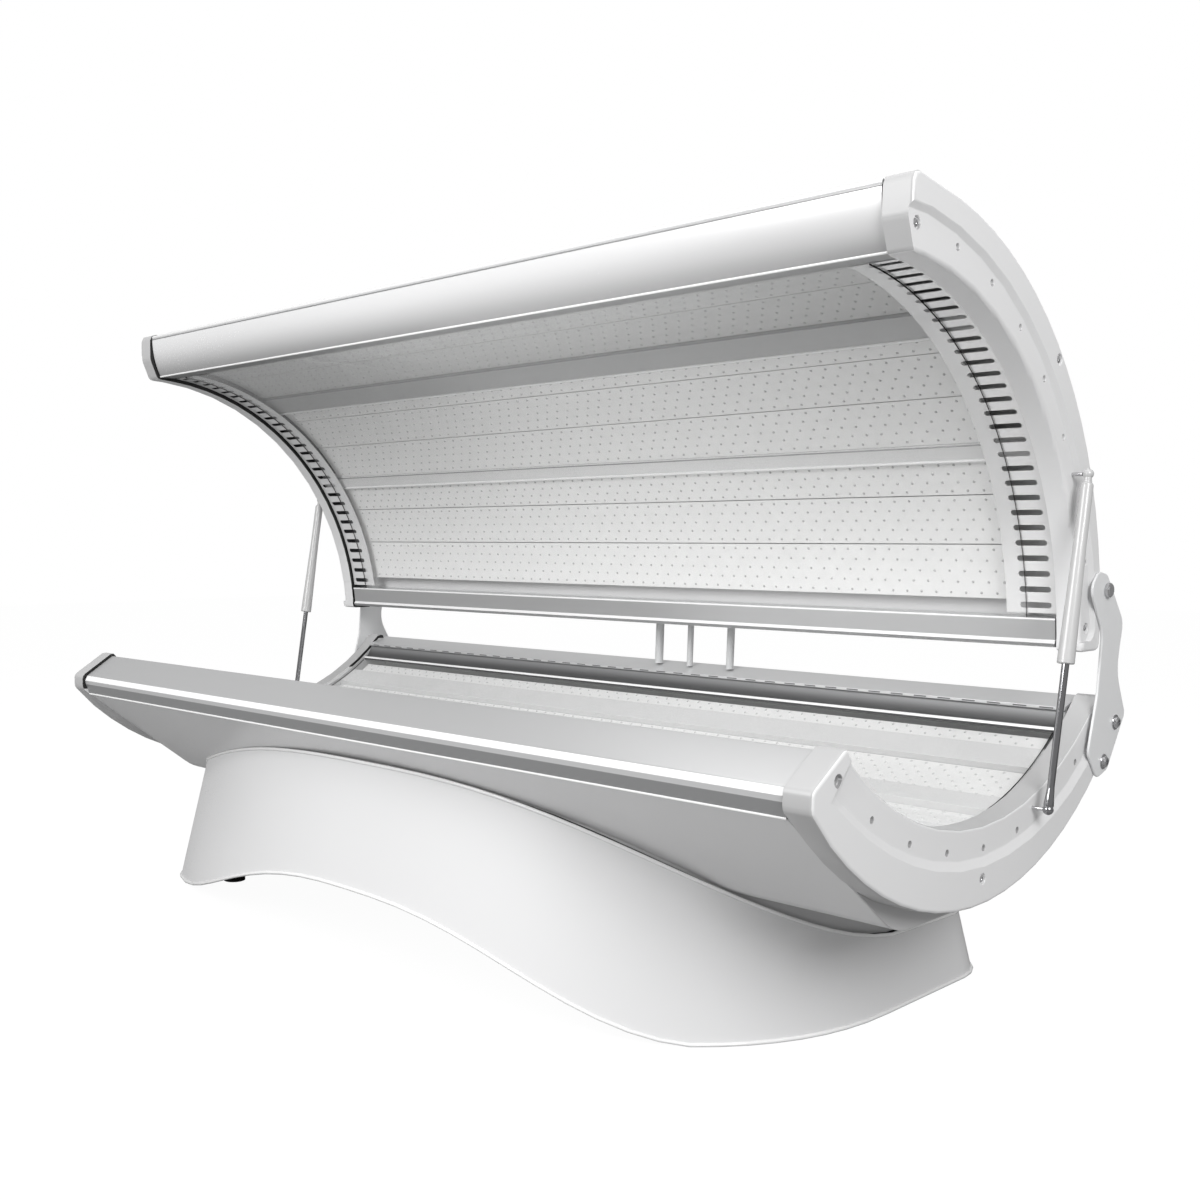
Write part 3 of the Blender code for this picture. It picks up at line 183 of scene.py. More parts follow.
def surface_group():
    """Mottled colour, uneven roughness and a fine height, all on object coordinates."""
    name = "uneven_surface"
    if name in bpy.data.node_groups:
        return bpy.data.node_groups[name]
    inputs = (("Colour", "Color"), ("Shade", "Color"), ("Cloud Scale", "Float"), ("Grain Scale", "Float"),
              ("Stretch", "Vector"), ("Low Roughness", "Float"), ("High Roughness", "Float"))
    group = new_group(name, inputs, (("Colour", "Color"), ("Roughness", "Float"), ("Height", "Float")))
    nodes, links = group.nodes, group.links
    given = nodes.new("NodeGroupInput")
    made = nodes.new("NodeGroupOutput")
    place = nodes.new("ShaderNodeTexCoord")
    stretch = nodes.new("ShaderNodeMapping")
    links.new(place.outputs["Object"], stretch.inputs["Vector"])
    links.new(given.outputs["Stretch"], stretch.inputs["Scale"])
    noises = []
    for scale, detail in (("Cloud Scale", 3.0), ("Grain Scale", 2.0)):
        noise = nodes.new("ShaderNodeTexNoise")
        noise.inputs["Detail"].default_value = detail
        links.new(stretch.outputs["Vector"], noise.inputs["Vector"])
        links.new(given.outputs[scale], noise.inputs["Scale"])
        noises.append(noise.outputs["Fac"])
    cloud, grain = noises
    mix = nodes.new("ShaderNodeMix")
    mix.data_type = "RGBA"
    links.new(cloud, mix.inputs["Factor"])
    links.new(given.outputs["Colour"], mix.inputs["A"])
    links.new(given.outputs["Shade"], mix.inputs["B"])
    spread = nodes.new("ShaderNodeMapRange")
    spread.inputs["From Min"].default_value = 0.3
    spread.inputs["From Max"].default_value = 0.7
    both = math_node(group, "MULTIPLY_ADD", grain, 0.5, math_node(group, "MULTIPLY", cloud, 0.5))
    links.new(both, spread.inputs["Value"])
    links.new(given.outputs["Low Roughness"], spread.inputs["To Min"])
    links.new(given.outputs["High Roughness"], spread.inputs["To Max"])
    links.new(mix.outputs["Result"], made.inputs["Colour"])
    links.new(spread.outputs["Result"], made.inputs["Roughness"])
    links.new(grain, made.inputs["Height"])
    return group


def fade_group(axis):
    """A colour darkened along one axis of the object's coordinates, for painted shade and reflections."""
    name = "edge_fade_" + axis
    if name in bpy.data.node_groups:
        return bpy.data.node_groups[name]
    inputs = (("Colour", "Color"), ("From", "Float"), ("To", "Float"), ("Share", "Float"))
    group = new_group(name, inputs, (("Colour", "Color"),))
    nodes, links = group.nodes, group.links
    given = nodes.new("NodeGroupInput")
    made = nodes.new("NodeGroupOutput")
    place = nodes.new("ShaderNodeTexCoord")
    axes = nodes.new("ShaderNodeSeparateXYZ")
    level = nodes.new("ShaderNodeMapRange")
    level.interpolation_type = "SMOOTHSTEP"
    dim = nodes.new("ShaderNodeVectorMath")
    dim.operation = "SCALE"
    links.new(place.outputs["Object"], axes.inputs["Vector"])
    links.new(axes.outputs[axis], level.inputs["Value"])
    links.new(given.outputs["From"], level.inputs["From Min"])
    links.new(given.outputs["To"], level.inputs["From Max"])
    links.new(given.outputs["Share"], level.inputs["To Min"])
    links.new(given.outputs["Colour"], dim.inputs["Vector"])
    links.new(level.outputs["Result"], dim.inputs["Scale"])
    links.new(dim.outputs["Vector"], made.inputs["Colour"])
    return group


def finish(name, colour, shade=0.93, roughness=(0.3, 0.4), metallic=0.0, cloud=3.0, grain=450.0,
           stretch=(1, 1, 1), bump=0.03, depth=0.0002, coat=0.0, fade=None):
    """A Principled finish over the uneven surface; shade is how dark its mottling goes.

    A fade (axis, from, to, share) paints shade: it darkens the colour to a share of itself at its first end.
    """
    if name in FINISHES:
        return FINISHES[name]
    made = FINISHES[name] = bpy.data.materials.new(name + "_finish")
    made.use_nodes = True
    made.diffuse_color = (*colour, 1)
    nodes, links = made.node_tree.nodes, made.node_tree.links
    shader = nodes["Principled BSDF"]
    surface = group_node(nodes, surface_group(), {
        "Colour": (*colour, 1), "Shade": (*(part * shade for part in colour), 1), "Cloud Scale": cloud,
        "Grain Scale": grain, "Stretch": stretch, "Low Roughness": roughness[0], "High Roughness": roughness[1]})
    colour_out = surface.outputs["Colour"]
    if fade:
        edge = group_node(nodes, fade_group(fade[0]), dict(zip(("From", "To", "Share"), fade[1:])))
        links.new(colour_out, edge.inputs["Colour"])
        colour_out = edge.outputs["Colour"]
    links.new(colour_out, shader.inputs["Base Color"])
    links.new(surface.outputs["Roughness"], shader.inputs["Roughness"])
    height = nodes.new("ShaderNodeBump")
    height.inputs["Strength"].default_value = bump
    height.inputs["Distance"].default_value = depth
    links.new(surface.outputs["Height"], height.inputs["Height"])
    links.new(height.outputs["Normal"], shader.inputs["Normal"])
    shader.inputs["Metallic"].default_value = metallic
    shader.inputs["Coat Weight"].default_value = coat
    shader.inputs["Coat Roughness"].default_value = COAT_ROUGHNESS
    return made


def tint(name, share=1.0):
    """One of the bed's colours, darkened to a share of itself."""
    return [part * share for part in getattr(bpy.context.scene.bed_colours, name)]


def moulded(name, share):
    return finish(name, tint("moulding", share), 0.97, (0.28, 0.40), grain=700.0, bump=0.05)


def brushed(name, colour, shade=0.97, roughness=(0.29, 0.30), cloud=2.0, grain=260.0, fade=None):
    return finish(name, colour, shade, roughness, 0.45, cloud, grain, BRUSHED, 0.0, fade=fade)


def glazed_board(name, share, shade, bump=0.2):
    return finish(name, tint("board", share), shade, (0.40, 0.55), cloud=42.0, grain=330.0, bump=bump,
                  depth=0.0004)


def lacquer(name, grey, shade, roughness, coat):
    return finish(name, (grey, grey, grey), shade, roughness, cloud=5.0, grain=500.0, coat=coat)


def moulding():
    return moulded("white_moulding", 1.0)


# Painted shade: darker copies of the moulding for the caps' walls, the underside one for walls that face down
def cap_side():
    return moulded("cap_side", 0.58)


def cap_underside():
    return moulded("cap_underside", 0.62)


def skin():
    return finish("satin_skin", tint("skin"), 0.96, (0.26, 0.36), cloud=1.6, grain=900.0, coat=0.15)


# Painted shade: the skin darkened, for the plinth's neck and the base's end plates under the belly
def neck_shade():
    return finish("neck_shade", tint("skin", 0.74), 0.96, (0.30, 0.40), cloud=1.6, grain=900.0)


def rail():
    return brushed("bright_extrusion", tint("rail"), cloud=5.0)


# Painted shade: the rail's grey darkened, for the canopy rail's front band and the upper canopy divider
def rail_mid():
    return brushed("rail_mid", tint("rail", 0.74))


def rail_slope():
    """The front rail's slope, with a painted reflection of the dark trough that darkens it towards the trough's
    edge.
    """
    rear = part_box("base_front_rail")[1].y
    return brushed("rail_slope", tint("rail", 0.80), 0.98, fade=("Y", rear - 0.004, rear - 0.030, 0.62))


# Painted shade: dark grey for the shaded bands of the extrusions and the dividers' upper edges; it also draws the
# nose's dark line
def rail_shade():
    return brushed("rail_shade", (0.34, 0.342, 0.346), roughness=(0.31, 0.32), grain=300.0)


def rail_hollow():
    """Painted shade in the hollow under the rear rail's lip, darker towards its foot."""
    fade = ("Z", REAR_Z - REAR_BANDS[1] + 0.004, REAR_Z - REAR_BANDS[0], 0.30)
    return brushed("rail_hollow", (0.32, 0.322, 0.326), roughness=(0.31, 0.32), grain=300.0, fade=fade)


# Painted highlight: a light glossy grey for the bright bands and beads that stand for lit edges on the extrusions,
# dividers and skirt
def rail_light():
    return finish("rail_light", (0.84, 0.84, 0.84), 0.98, (0.16, 0.22), cloud=6.0, grain=300.0, bump=0.0, coat=0.3)


def nose_white():
    """The nose's bright front, with painted shade that darkens it towards its foot."""
    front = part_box("canopy_nose")[0].y
    return finish("nose_white", (0.78, 0.78, 0.784), 0.98, (0.22, 0.28), 0.15, cloud=2.0, grain=300.0, bump=0.0,
                  fade=("Y", front + 0.0216, front - 0.0030, 0.46))


def lamp_board():
    return glazed_board("lamp_board", 1.0, 0.90, 0.25)


def shaded_board():
    """The boards high in the canopy, in the shade of its nose."""
    return glazed_board("shaded_board", 0.66, 0.92)


# Painted shade: the board white darkened for the base's boards
def base_board():
    return glazed_board("base_board", 0.80, 0.93)


def lamp_lens():
    return finish("lamp_lens", tint("lamp"), 0.80, (0.15, 0.25), cloud=60.0, bump=0.0)


def white_sheet():
    return lacquer("white_sheet", 0.75, 0.95, (0.22, 0.34), 0.2)


# Painted shade: a darker copy of the white sheet for the base's dividers
def base_divider():
    return lacquer("base_divider", 0.58, 0.96, (0.22, 0.34), 0.2)


def strut_white():
    return lacquer("strut_white", 0.53, 0.97, (0.18, 0.26), 0.3)


def polished():
    return finish("polished_strip", tint("strip"), 0.92, (0.14, 0.24), 0.35, cloud=9.0, grain=260.0, bump=0.01)


def clear_acrylic():
    """A clear sheet: light goes straight through, and more of it is mirrored at a shallow angle."""
    if "clear_acrylic" in FINISHES:
        return FINISHES["clear_acrylic"]
    made = finish("clear_acrylic", (0.90, 0.91, 0.91), 0.98, (0.02, 0.06), cloud=2.0, grain=40.0, bump=0.004)
    tree = made.node_tree
    through = tree.nodes.new("ShaderNodeBsdfTransparent")
    angle = tree.nodes.new("ShaderNodeLayerWeight")
    fall = math_node(tree, "POWER", angle.outputs["Facing"], 5.0)
    mirror = math_node(tree, "MULTIPLY_ADD", fall, 0.90, 0.03)
    mix_surface(tree, mirror, through.outputs["BSDF"], tree.nodes["Principled BSDF"].outputs["BSDF"])
    return made


def satin_steel():
    return finish("satin_steel", (0.60, 0.60, 0.61), 0.85, (0.18, 0.32), 1.0, cloud=40.0, grain=900.0, bump=0.05)


def chrome():
    return finish("chrome", (0.80, 0.80, 0.81), 0.95, (0.04, 0.10), 1.0, cloud=30.0, bump=0.0)


def rod_steel():
    return finish("rod_steel", (0.34, 0.34, 0.35), 0.95, (0.06, 0.12), 1.0, cloud=30.0, bump=0.0)


def painted_link():
    return finish("painted_link", (0.76, 0.765, 0.77), 0.96, (0.28, 0.40), cloud=8.0, grain=600.0, bump=0.06)


def dark_steel():
    return finish("dark_steel", (0.055, 0.055, 0.06), 0.6, (0.40, 0.60), 0.3, cloud=12.0, grain=500.0, bump=0.2)


# Black rubber, also used as a painted shadow at the foot of the plinth's neck
def black_rubber():
    return finish("black_rubber", (0.012, 0.012, 0.012), 0.7, (0.50, 0.70), cloud=30.0, grain=900.0, bump=0.15)


def slot_shadow():
    return finish("slot_shadow", (0.16, 0.16, 0.165), 0.8, (0.50, 0.70), cloud=30.0, grain=900.0, bump=0.05)


def grey_hose():
    return finish("grey_hose", (0.55, 0.555, 0.56), 0.88, (0.35, 0.50), cloud=25.0, grain=700.0, bump=0.1)



# Shapes

WELD = 0.00002
FINE_WELD = 0.00001
POLE_WELD = 0.000005


def copy_of(node, flat=0.4):
    """A bmesh of a frame node with its triangles welded and its flat faces made whole."""
    shape = bmesh.new()
    shape.from_mesh(NODES[node].data)
    bmesh.ops.remove_doubles(shape, verts=shape.verts, dist=WELD)
    bmesh.ops.dissolve_limit(shape, angle_limit=radians(flat), verts=shape.verts, edges=shape.edges)
    return shape


def skin_tree(node):
    """A frame node's surface, to cast rays at."""
    shape = bmesh.new()
    shape.from_mesh(NODES[node].data)
    tree = BVHTree.FromBMesh(shape)
    shape.free()
    return tree


def mesh_of(name, shape):
    """A mesh from a bmesh, which is freed."""
    mesh = bpy.data.meshes.new(name)
    shape.to_mesh(mesh)
    shape.free()
    return mesh


def placed(name, data):
    """A new object in the scene."""
    made = bpy.data.objects.new(name, data)
    bpy.context.scene.collection.objects.link(made)
    return made


def dressed(name, shape, finishes, smooth):
    """An object from a bmesh with one or more finishes, shaded smooth up to an angle."""
    mesh = mesh_of(name, shape)
    for one in finishes if isinstance(finishes, (list, tuple)) else [finishes]:
        mesh.materials.append(one)
    mesh.shade_smooth()
    mesh.set_sharp_from_angle(angle=radians(smooth))
    return placed(name, mesh)


def level_shading(made):
    """Normals weighted by face area, so that flat faces shade flat beside small roundings."""
    weight = made.modifiers.new("level", "WEIGHTED_NORMAL")
    weight.keep_sharp = True
    bpy.context.view_layer.update()
    graph = bpy.context.evaluated_depsgraph_get()
    mesh = bpy.data.meshes.new_from_object(made.evaluated_get(graph), preserve_all_data_layers=True,
                                           depsgraph=graph)
    made.modifiers.remove(weight)
    old = made.data
    made.data = mesh
    bpy.data.meshes.remove(old)


def piece(name, shape, finishes, body, nodes=(), smooth=34):
    """A piece from a bmesh, riding on a body and standing for frame nodes."""
    made = dressed(name, shape, finishes, smooth)
    level_shading(made)
    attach(made, body)
    if nodes:
        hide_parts(*nodes)


def sharp_edges(shape, angle):
    return [edge for edge in shape.edges if len(edge.link_faces) == 2 and edge.calc_face_angle() > radians(angle)]


def round_edges(shape, edges, width, segments):
    bmesh.ops.bevel(shape, geom=edges, offset=width, offset_type="OFFSET", segments=segments, profile=0.5,
                    affect="EDGES", clamp_overlap=True, material=-1)


def split_at(shape, height):
    """Cuts the faces of a bmesh at a height, where one finish ends and the next begins."""
    bmesh.ops.bisect_plane(shape, geom=shape.verts[:] + shape.edges[:] + shape.faces[:], dist=FINE_WELD,
                           plane_co=(0, 0, height), plane_no=(0, 0, 1))


def refined(node, finishes, body, width, segments=2, angle=30, choose=None, levels=()):
    """A frame node drawn again with rounded edges and split at levels.

    Where there is more than one finish, choose gives a face's place in their list.
    """
    shape = copy_of(node)
    round_edges(shape, sharp_edges(shape, angle), width, segments)
    for level in levels:
        split_at(shape, level)
    if choose:
        for face in shape.faces:
            face.material_index = choose(face.normal, face.calc_center_median())
    piece(node + "_finished", shape, finishes, body, [node])


def bridge(shape, rings):
    """Faces from each closed ring of vertices to the next."""
    for ring, following in zip(rings, rings[1:]):
        for i in range(len(ring)):
            j = (i + 1) % len(ring)
            shape.faces.new((ring[i], following[i], following[j], ring[j]))


def arc_sheet(shape, centre, radius, start, end, steps, half, thickness):
    """A curved sheet along X added to a bmesh: faces on an arc round a centre, thickened outwards."""
    lines = []
    for i in range(steps + 1):
        at = polar(centre, radius, start + (end - start) * i / steps)
        lines.append([shape.verts.new((x, *at)) for x in (-half, half)])
    faces = [shape.faces.new((a[0], b[0], b[1], a[1])) for a, b in zip(lines, lines[1:])]
    for face in faces:
        face.normal_update()
    bmesh.ops.solidify(shape, geom=faces, thickness=-thickness)


def turned(shape, profile, matrix, steps):
    """Adds to a bmesh a profile of (radius, height) points, spun about Z into a solid and placed by a matrix."""
    part = bmesh.new()
    verts = [part.verts.new((radius, 0, height)) for radius, height in profile]
    edges = [part.edges.new(pair) for pair in zip(verts, verts[1:])]
    bmesh.ops.spin(part, geom=verts + edges, cent=(0, 0, 0), axis=(0, 0, 1), angle=2 * pi, steps=steps,
                   use_merge=True)
    bmesh.ops.remove_doubles(part, verts=part.verts, dist=POLE_WELD)
    bmesh.ops.recalc_face_normals(part, faces=part.faces)
    bmesh.ops.transform(part, matrix=matrix, verts=part.verts)
    mesh = mesh_of("turned", part)
    shape.from_mesh(mesh)
    bpy.data.meshes.remove(mesh)


def facing_x(side, x, at):
    """The matrix that points a turned part outwards along X at a (y, z) point."""
    return Matrix.Translation((side * x, *at)) @ Matrix.Rotation(side * pi / 2, 4, "Y")


def from_centre(step):
    """The (y, z) point at a step from the canopy's centre."""
    return (CANOPY[0] + step[0], CANOPY[1] + step[1])


def round_stock(route, radius, closed=False, fineness=4):
    """A bmesh of round stock along a line of points."""
    curve = bpy.data.curves.new("line", "CURVE")
    curve.dimensions = "3D"
    curve.bevel_depth = radius
    curve.bevel_resolution = fineness
    curve.use_fill_caps = True
    spline = curve.splines.new("POLY")
    spline.points.add(len(route) - 1)
    spline.use_cyclic_u = closed
    for point, place in zip(spline.points, route):
        point.co = (*place, 1)
    holder = placed("line", curve)
    bpy.context.view_layer.update()
    mesh = bpy.data.meshes.new_from_object(holder.evaluated_get(bpy.context.evaluated_depsgraph_get()))
    bpy.data.objects.remove(holder)
    bpy.data.curves.remove(curve)
    shape = bmesh.new()
    shape.from_mesh(mesh)
    bpy.data.meshes.remove(mesh)
    bmesh.ops.remove_doubles(shape, verts=shape.verts, dist=FINE_WELD)
    bmesh.ops.recalc_face_normals(shape, faces=shape.faces)
    return shape


def line_bead(name, at, radius, one_finish, body):
    """A thin round bead along the whole body at a (y, z) point; the beads carry painted highlights and dark lines.
    """
    ends = [Vector((x, *at)) for x in (-HALF_BODY, HALF_BODY)]
    piece(name, round_stock(ends, radius, fineness=3), one_finish, body, smooth=60)


def carve(shape, cutter):
    """The first bmesh less the second; both are closed. The result is a new bmesh."""
    carved = placed("carved", mesh_of("carved", shape))
    carver = placed("carver", mesh_of("carver", cutter))
    step = carved.modifiers.new("carve", "BOOLEAN")
    step.operation = "DIFFERENCE"
    step.solver = "EXACT"
    step.object = carver
    bpy.context.view_layer.update()
    result = bmesh.new()
    result.from_mesh(carved.evaluated_get(bpy.context.evaluated_depsgraph_get()).data)
    for holder in (carved, carver):
        mesh = holder.data
        bpy.data.objects.remove(holder)
        bpy.data.meshes.remove(mesh)
    bmesh.ops.dissolve_limit(result, angle_limit=radians(0.4), verts=result.verts, edges=result.edges)
    return result


def walk(edges):
    """The points of the closed chain of edges that the first of them is in, in order."""
    following = {}
    for edge in edges:
        for vert in edge.verts:
            following.setdefault(vert, []).append(edge.other_vert(vert))
    start = edges[0].verts[0]
    points, before, here = [], None, start
    while here is not start or before is None:
        points.append(here.co.copy())
        step = [vert for vert in following[here] if vert is not before]
        before, here = here, step[0]
    return points


def screw_profile(radius, height):
    """A domed screw head with a round socket, its seat at height 0."""
    socket = radius * 0.42
    return [(0, height * 0.45), (socket, height * 0.45), (socket * 1.08, height), (radius * 0.72, height * 0.94),
            (radius * 0.93, height * 0.66), (radius, height * 0.2), (radius, 0), (0, 0)]


# End caps

CAP_ROUND = 0.0065
CAP_LEAD = 0.007
CAP_TIP = 0.030
SOFFIT_LIP = 0.008
BLACK_FACE_FOOT = 0.466
SKIN_GAP = 0.0006
SKIN_REACH = 0.030
CUT_PAST = 0.002
CUT_INSIDE = 0.010
HOLE_MOUTH = 0.012
DIMPLE_DEPTH = 0.0060
DIMPLE_LEAD = 0.0008
BORE_DEPTH = 0.0042
BORE_LEAD = 0.0010
HEAD_HEIGHT = 0.0034
HEAD_SUNK = 0.0040

# Places of the holes in the end caps, as (y, z) steps from the canopy's centre. A screw's third value is 1 where
# it sits on the outer face and 0 where it sits on the sunken field.
CANOPY_DIMPLES = ((0.135, 0.637), (0.243, 0.601), (0.341, 0.546), (0.431, 0.475), (0.511, 0.387), (0.619, 0.178))
CANOPY_SCREWS = ((0.019, 0.653, 0), (0.469, 0.508, 1), (0.634, 0.065, 0))
LOWER_DIMPLES = ((-0.052, -0.173), (0.055, -0.225), (0.168, -0.257), (0.286, -0.268), (0.402, -0.257),
                 (0.616, -0.169))
LOWER_SCREWS = ((-0.152, -0.104, 0), (0.273, -0.315, 1))

# Sunken fields of the end caps: angle round the centre, radius of the step, share of the full depth
FIELD_DEPTH = 0.007
FIELD_FLOOR = CAP_OUT - FIELD_DEPTH
FIELD_END_ROUND = 0.006
CANOPY_STEP, CANOPY_FILLET = 0.0075, 0.008
LOWER_STEP, LOWER_FILLET = 0.0135, 0.004
CANOPY_FIELD = ((99, 0.684, 1), (93, 0.681, 1), (86, 0.678, 1), (79, 0.6745, 1), (72, 0.6715, 1), (65, 0.669, 1),
                (58, 0.666, 1), (51, 0.6635, 1), (44, 0.6615, 1), (37, 0.660, 1), (30, 0.660, 1), (23, 0.660, 1),
                (16, 0.660, 1), (9, 0.660, 1), (5.6, 0.659, 1), (4.4, 0.652, 1), (3.8, 0.641, 0.9))
LOWER_FIELD = ((-132.6, 0.666, 0), (-131.2, 0.662, 1), (-127, 0.6585, 1), (-122, 0.657, 1), (-116, 0.6555, 1),
               (-110, 0.6545, 1), (-104, 0.654, 1), (-97, 0.654, 1), (-90, 0.6535, 1), (-83, 0.653, 1),
               (-76, 0.653, 1), (-69, 0.6525, 1), (-62, 0.652, 1), (-56, 0.650, 1), (-51, 0.640, 1),
               (-47.5, 0.620, 1), (-46.4, 0.613, 0.2))


def hole_profile(radius, depth, lead):
    """A blind hole with a small countersink, as a solid to cut with; its mouth is at height 0."""
    wide = radius + lead
    return [(0, HOLE_MOUTH), (wide, HOLE_MOUTH), (wide, 0.0003), (radius, -lead), (radius, -depth), (0, -depth)]


def field_profile(step, inner, width, depth, fillet):
    """The (x, radius) section of a sunken field: eased step, floor and a fillet to the cap's inner edge."""
    floor = CAP_OUT - depth
    foot = max(step - width - 0.0012, inner + fillet + 0.0004)
    line = [(CAP_OUT + CUT_PAST, step + 0.0035), (CAP_OUT - 0.0002, step + 0.0010),
            (CAP_OUT - 0.16 * depth, step - 0.10 * width), (floor + 0.12 * depth, step - 0.92 * width),
            (floor, foot)]
    for turn in (0, 22, 45, 68, 90):
        line.append((floor - fillet * (1 - cos(radians(turn))), inner + fillet * (1 - sin(radians(turn)))))
    return line + [(floor - fillet, inner - CUT_INSIDE), (CAP_OUT + CUT_PAST, inner - CUT_INSIDE)]


def field_cutter(side, centre, stations, inner, width, fillet):
    """The solid that sinks a cap's field: its section carried round the centre from station to station."""
    shape = bmesh.new()
    rings = []
    for angle, step, share in stations:
        line = field_profile(step, inner, width, max(FIELD_DEPTH * share, 0.0004), fillet)
        rings.append([shape.verts.new((side * x, *polar(centre, radius, angle))) for x, radius in line])
    shape.faces.new(rings[0])
    shape.faces.new(rings[-1][::-1])
    bridge(shape, rings)
    bmesh.ops.recalc_face_normals(shape, faces=shape.faces)
    return shape


def flush(point, side, cover):
    """A point of a cap's outline, drawn in to the belly's skin where it stands proud of it."""
    if cover is None:
        return point
    away = Vector((0, point.y - TROUGH[0], point.z - TROUGH[1]))
    reach = away.length
    away.normalize()
    middle = Vector((side * (HALF_BODY - 0.03), *TROUGH))
    hit = cover.ray_cast(middle + away * 1.2, -away)[0]
    if hit is None:
        return point
    skin_at = (hit - middle).length
    if skin_at + SKIN_GAP < reach < skin_at + SKIN_REACH:
        return Vector((point.x, *(Vector(TROUGH) + away.yz * (skin_at + SKIN_GAP))))
    return point


def cap_blank(node, side, cover):
    """A cap's crescent as a plain round-edged block, from the outline of the frame node's inner face."""
    shape = copy_of(node)
    rim = []
    for edge in shape.edges:
        on_face = all(abs(abs(vert.co.x) - CAP_IN) < 0.0002 for vert in edge.verts)
        inward = [face for face in edge.link_faces if face.normal.x * side < -0.9]
        if on_face and len(inward) == 1:
            rim.append(edge)
    outline = walk(sorted(rim, key=lambda edge: -edge.verts[0].co.z))
    shape.free()
    blank = bmesh.new()
    stations = ((CAP_IN, [flush(point, side, cover) for point in outline]), (CAP_IN + CAP_LEAD, outline),
                (CAP_OUT - CAP_ROUND, outline))
    rings = [[blank.verts.new((side * x, point.y, point.z)) for point in line] for x, line in stations]
    blank.faces.new(rings[0])
    bridge(blank, rings)
    face = blank.faces.new(rings[-1])
    face.normal_update()
    if face.normal.x * side < 0:
        face.normal_flip()
    before = (0.0, 0.0)
    for angle in (18, 36, 54, 72, 90):
        now = (CAP_ROUND * (1 - cos(radians(angle))), CAP_ROUND * sin(radians(angle)))
        bmesh.ops.inset_region(blank, faces=[face], thickness=now[0] - before[0], depth=now[1] - before[1],
                               use_even_offset=True, use_boundary=True)
        before = now
    bmesh.ops.remove_doubles(blank, verts=blank.verts, dist=0.0001)
    bmesh.ops.recalc_face_normals(blank, faces=blank.faces)
    return blank


class BED_OT_end_caps(bpy.types.Operator):
    """Moulded crescent end caps with sunken fields, dimples, counterbored screws and black inner faces"""
    bl_idname = "bed.end_caps"
    bl_label = "End caps"

    def execute(self, context):
        sizes = context.scene.bed_sizes
        for label, side in SIDES:
            blank = cap_blank("lower_cap_" + label, side, skin_tree("lower_shell"))
            cutter = field_cutter(side, TROUGH, LOWER_FIELD, TROUGH_R, LOWER_STEP, LOWER_FILLET)
            self.cap(sizes, "lower_cap_" + label, "base", side, carve(blank, cutter), LOWER_DIMPLES, LOWER_SCREWS,
                     BLACK_FACE_FOOT)
            blank = cap_blank("canopy_cap_" + label, side, None)
            cutter = field_cutter(side, CANOPY, CANOPY_FIELD, CANOPY_R - SOFFIT_LIP, CANOPY_STEP, CANOPY_FILLET)
            self.cap(sizes, "canopy_cap_" + label, "canopy", side, carve(blank, cutter), CANOPY_DIMPLES,
                     CANOPY_SCREWS, 0.0)
        return {"FINISHED"}

    def cap(self, sizes, node, body, side, shape, dimples, screws, black_from):
        """One cap, from its blank with the field cut; the inner face is black above a height, and the walls take
        painted shade.
        """
        bmesh.ops.remove_doubles(shape, verts=shape.verts, dist=0.0002)
        ends = []
        for edge in shape.edges:
            level = all(abs(abs(vert.co.x) - FIELD_FLOOR) < 0.0003 for vert in edge.verts)
            if level and edge.is_convex and edge.calc_face_angle(0) > radians(15):
                ends.append(edge)
        round_edges(shape, ends, FIELD_END_ROUND, 4)
        holes, heads = bmesh.new(), bmesh.new()
        for step in dimples:
            turned(holes, hole_profile(sizes.dimple_radius, DIMPLE_DEPTH, DIMPLE_LEAD),
                   facing_x(side, FIELD_FLOOR, from_centre(step)), 20)
        for *step, outside in screws:
            seat = CAP_OUT if outside else FIELD_FLOOR
            at = from_centre(step)
            turned(holes, hole_profile(sizes.bore_radius, BORE_DEPTH, BORE_LEAD), facing_x(side, seat, at), 28)
            turned(heads, screw_profile(sizes.screw_radius, HEAD_HEIGHT), facing_x(side, seat - HEAD_SUNK, at), 24)
        shape = carve(shape, holes)
        split_at(shape, black_from)
        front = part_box(node)[0].y
        for face in shape.faces:
            middle = face.calc_center_median()
            out = face.normal.x * side
            tip = middle.y < front + CAP_TIP and face.normal.y < -0.6
            soffit = body == "canopy" and not tip and face.normal.yz.dot(Vector(CANOPY) - middle.yz) > 0
            # The inner face is black above the given height
            if out < -0.9 and abs(abs(middle.x) - CAP_IN) < 0.001:
                face.material_index = 1 if middle.z > black_from else 0
            # Painted shade: the cap's walls, away from its outer face, the canopy's soffit and the front tip, take
            # the darker copies of the moulding
            elif out < 0.62 and not soffit and abs(middle.x) < FIELD_FLOOR + 0.004:
                face.material_index = 2 if face.normal.z < -0.25 else 3
        finishes = [moulding(), black_rubber(), cap_underside(), cap_side()]
        piece(node + "_moulded", shape, finishes, body, [node])
        piece(node + "_screws", heads, chrome(), body)



# Shells and rails

FRONT_FACE = 0.012
HOLLOW_BEFORE = 0.050
NOSE_UNDERSIDE = 0.0008
CANOPY_FACE = 0.006
CANOPY_LIP = 0.0125
SLOT_SHADE_SHARE = 0.52
SLOT_SHADE_HEIGHT = 0.0022
SLOT_SHADE_DEPTH = 0.0008
SLOT_SHADE_BEFORE = 0.0623
SLOT_SHADE_UNDER = 0.0203


def front_rail_band(normal, middle):
    """From the foot up: a band of painted shade, a grey band, a painted highlight on the nose, then the slope."""
    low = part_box("base_front_rail")[0]
    if middle.y > low.y + FRONT_FACE:
        return 0
    for rise, place in zip(FRONT_BANDS, (1, 3, 2)):
        if middle.z - low.z < rise:
            return place
    return 0


